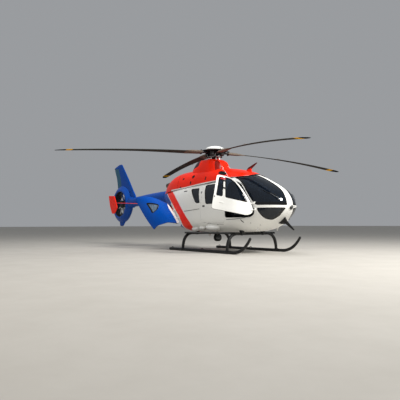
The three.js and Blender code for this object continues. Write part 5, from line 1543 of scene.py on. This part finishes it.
def noseFittings(s):
    # Landing light let into the tip: a rim, a dark lens and the probe above it
    y, z, wide, high = s["lamp"]
    a = fullTurn(64)
    skin = podSurface(*np.meshgrid(np.linspace(2950, 3259, 310), np.linspace(-np.pi, np.pi, 900))).reshape(-1, 3)
    for name, grow, ahead, material, slot in (("lamp_rim", 1.3, 9, topcoatWhite, "white_paint"),
                                              ("lamp_lens", 1.0, 16, lampGlass, "tinted_glass")):
        rho = np.array([1, 1, 0.96, 0.8, 0.5, 0.02])[:, None]
        deep = np.array([-40, ahead - 4, ahead, ahead + 1, ahead + 2, ahead + 2])[:, None]
        across, up = y + wide * grow * rho * np.cos(a), z + high * grow * rho * np.sin(a)
        nearest = ((skin[:, 1] - across[..., None]) ** 2 + (skin[:, 2] - up[..., None]) ** 2).argmin(-1)
        rings = np.stack([skin[nearest, 0] + deep, across, up], -1)
        slottedPiece(name, rings, material, sharp=50)
    path = bezier(s["probe"], 24)
    path, radii = roundedEnds(path, 8)
    slottedPiece("nose_probe", tubeRings(path, radii, 20, (0, 1, 0)), castAlloy)
    boss = bezier([(3170, 0, 1352), (3230, 0, 1347), (3262, 0, 1343), (3290, 0, 1340)], 14)
    slottedPiece("probe_boss", tubeRings(boss, np.linspace(30, 10, 14), 24, (0, 1, 0)), topcoatWhite)
    # Blade aerials under the nose and belly
    for k, (x, y, root, tip, chord) in enumerate(((2400, -400, 770, 655, 90), (2400, 400, 770, 655, 90),
                                                  (1250, 0, 625, 500, 160), (-250, 0, 625, 470, 190))):
        z = np.linspace(root, tip, 14)
        draw = np.linspace(1, 0.45, 14)
        lead = x + chord / 2 - np.linspace(0, chord * 0.35, 14)
        _, rings = wingRings(z, lead, lead - chord * draw, 22 * draw, 16)
        slottedPiece(f"blade_aerial_{k + 1}", rings + (0, y, 0), topcoatWhite)
    # Cutter's red foot on the roof, wrapped round the cutter's root
    x = np.linspace(1480, 1740, 24)
    top = np.interp(x, [1480, 1560, 1740], [2440, 2500, 2540])
    low = np.interp(x, [1480, 1740], [2410, 2395])
    half = 17 * np.sin(np.linspace(0.12, np.pi - 0.3, 24)) + 11
    a = fullTurn(32)
    soft = lambda t: bent(t, 0.6)
    rings = np.stack([x[:, None] + 0 * a, half[:, None] * soft(np.cos(a)),
                      ((top + low) / 2)[:, None] + ((top - low) / 2)[:, None] * soft(np.sin(a))], -1)
    slottedPiece("cutter_foot", rings, topcoatRed)


def searchlight():
    # A drum that looks forward, its lens behind a rim, on a swivel stem from the belly
    middle = (0, -300, 430)
    drum = softProfile([[0.5, 400], [70, 400], [104, 424], [112, 460], [112, 536], [115, 540], [115, 560], [104, 560],
                        [100, 546], [0.5, 546]], 8)
    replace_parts(slottedPiece("searchlight_drum", turnedRings(drum, 64, "x", middle), skidEnamel),
                "searchlight")
    lens = softProfile([[0.5, 540], [99, 540], [99, 549], [60, 556], [0.5, 558]], 6)
    slottedPiece("searchlight_lens", turnedRings(lens, 56, "x", middle), lampGlass)
    stem = softProfile([[0.5, 500], [30, 500], [30, 560], [44, 580], [44, 640], [0.5, 665]], 8)
    stem = turnedRings(stem, 40) + (470, -300, 0)
    slottedPiece("searchlight_stem", stem, skidEnamel)
    for k in range(7):
        fin = softProfile([[0.5, 0], [116, 0], [118, 3], [116, 6], [0.5, 6]], 2)
        fin = turnedRings(fin, 56, "x", (436 + 12 * k, -300, 430))
        slottedPiece(f"searchlight_rib_{k + 1}", fin, skidEnamel)
    for side in (-1, 1):
        arm = bezier([(470, -300 + 122 * side, 430), (470, -300 + 130 * side, 500), (470, -300 + 90 * side, 560),
                      (470, -300 + 20 * side, 560)], 20)
        tubePiece(f"searchlight_yoke_{'port' if side > 0 else 'starboard'}", arm, 11, skidEnamel,
                  lift=(1, 0, 0))


def servoRods():
    # White control rods from the fairing's top up to the swash plate
    for k, degrees in enumerate((-150, -72, -28, 2, 90, 140)):
        x, y = 255 * np.cos(radians(degrees)), 255 * np.sin(radians(degrees))
        path, radii = roundedEnds(np.linspace([x, y, 2900], [x * 0.82, y * 0.82, 3034], 10), 21)
        slottedPiece(f"servo_rod_{k + 1}", tubeRings(path, radii, 24, (1, 0, 0)), topcoatWhite)


noseFittings(noseSettings)
searchlight()
servoRods()
print("fittings made")


# Nodes that keep their own shape get a finish
keptFinishes = {"engine_right": castAlloy, "engine_left": castAlloy, "main_gearbox": castAlloy,
                "cabin_floor": floorRubber,
                "instrument_panel": panelBlack, "upper_wire_cutter": cutterPaint, "lower_wire_cutter": skidEnamel}
for node, material in keptFinishes.items():
    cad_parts[node].data.materials.clear()
    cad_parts[node].data.materials.append(material)

# Floor and light
studioSettings = {"world": ("#c9ccd0", 0.55), "floor": ("#bdb9b1", "#b7b3ab"),
                  "lamps": {"key": ((14, 1, 10), (0, 0, 1.2), 3.4, 2450, "#fffdfa"),
                            "top": ((1, -2, 14), (0, 0, 1), 10, 1100, "#ffffff"),
                            "fill": ((6, -14, 5), (0, 0, 1.2), 8, 200, "#fff6e8")}}


def studio(s):
    mesh = bpy.data.meshes.new("studio_floor")
    work = bmesh.new()
    bmesh.ops.create_grid(work, x_segments=1, y_segments=1, size=200)
    work.to_mesh(mesh)
    work.free()
    floor = bpy.data.objects.new("studio_floor", mesh)
    bpy.context.scene.collection.objects.link(floor)
    mesh.materials.append(plainFinish("pale matt floor", *s["floor"], 1.5, 0.8, bump=0.02))
    world = bpy.data.worlds.new("soft studio")
    bpy.context.scene.world = world
    world.use_nodes = True
    background = world.node_tree.nodes["Background"]
    background.inputs[0].default_value, background.inputs[1].default_value = hexColor(s["world"][0]), s["world"][1]
    for name, (place, target, size, power, tint) in s["lamps"].items():
        data = bpy.data.lights.new(name, "AREA")
        data.shape, data.size, data.energy = "SQUARE", size, power
        data.color = hexColor(tint)[:3]
        lamp = bpy.data.objects.new(name, data)
        lamp.location = place
        lamp.visible_glossy = name == "key"
        lamp.rotation_euler = (Vector(target) - Vector(place)).to_track_quat("-Z", "Y").to_euler()
        bpy.context.scene.collection.objects.link(lamp)
    bpy.context.scene.view_settings.view_transform = "Standard"


studio(studioSettings)
print("studio made")
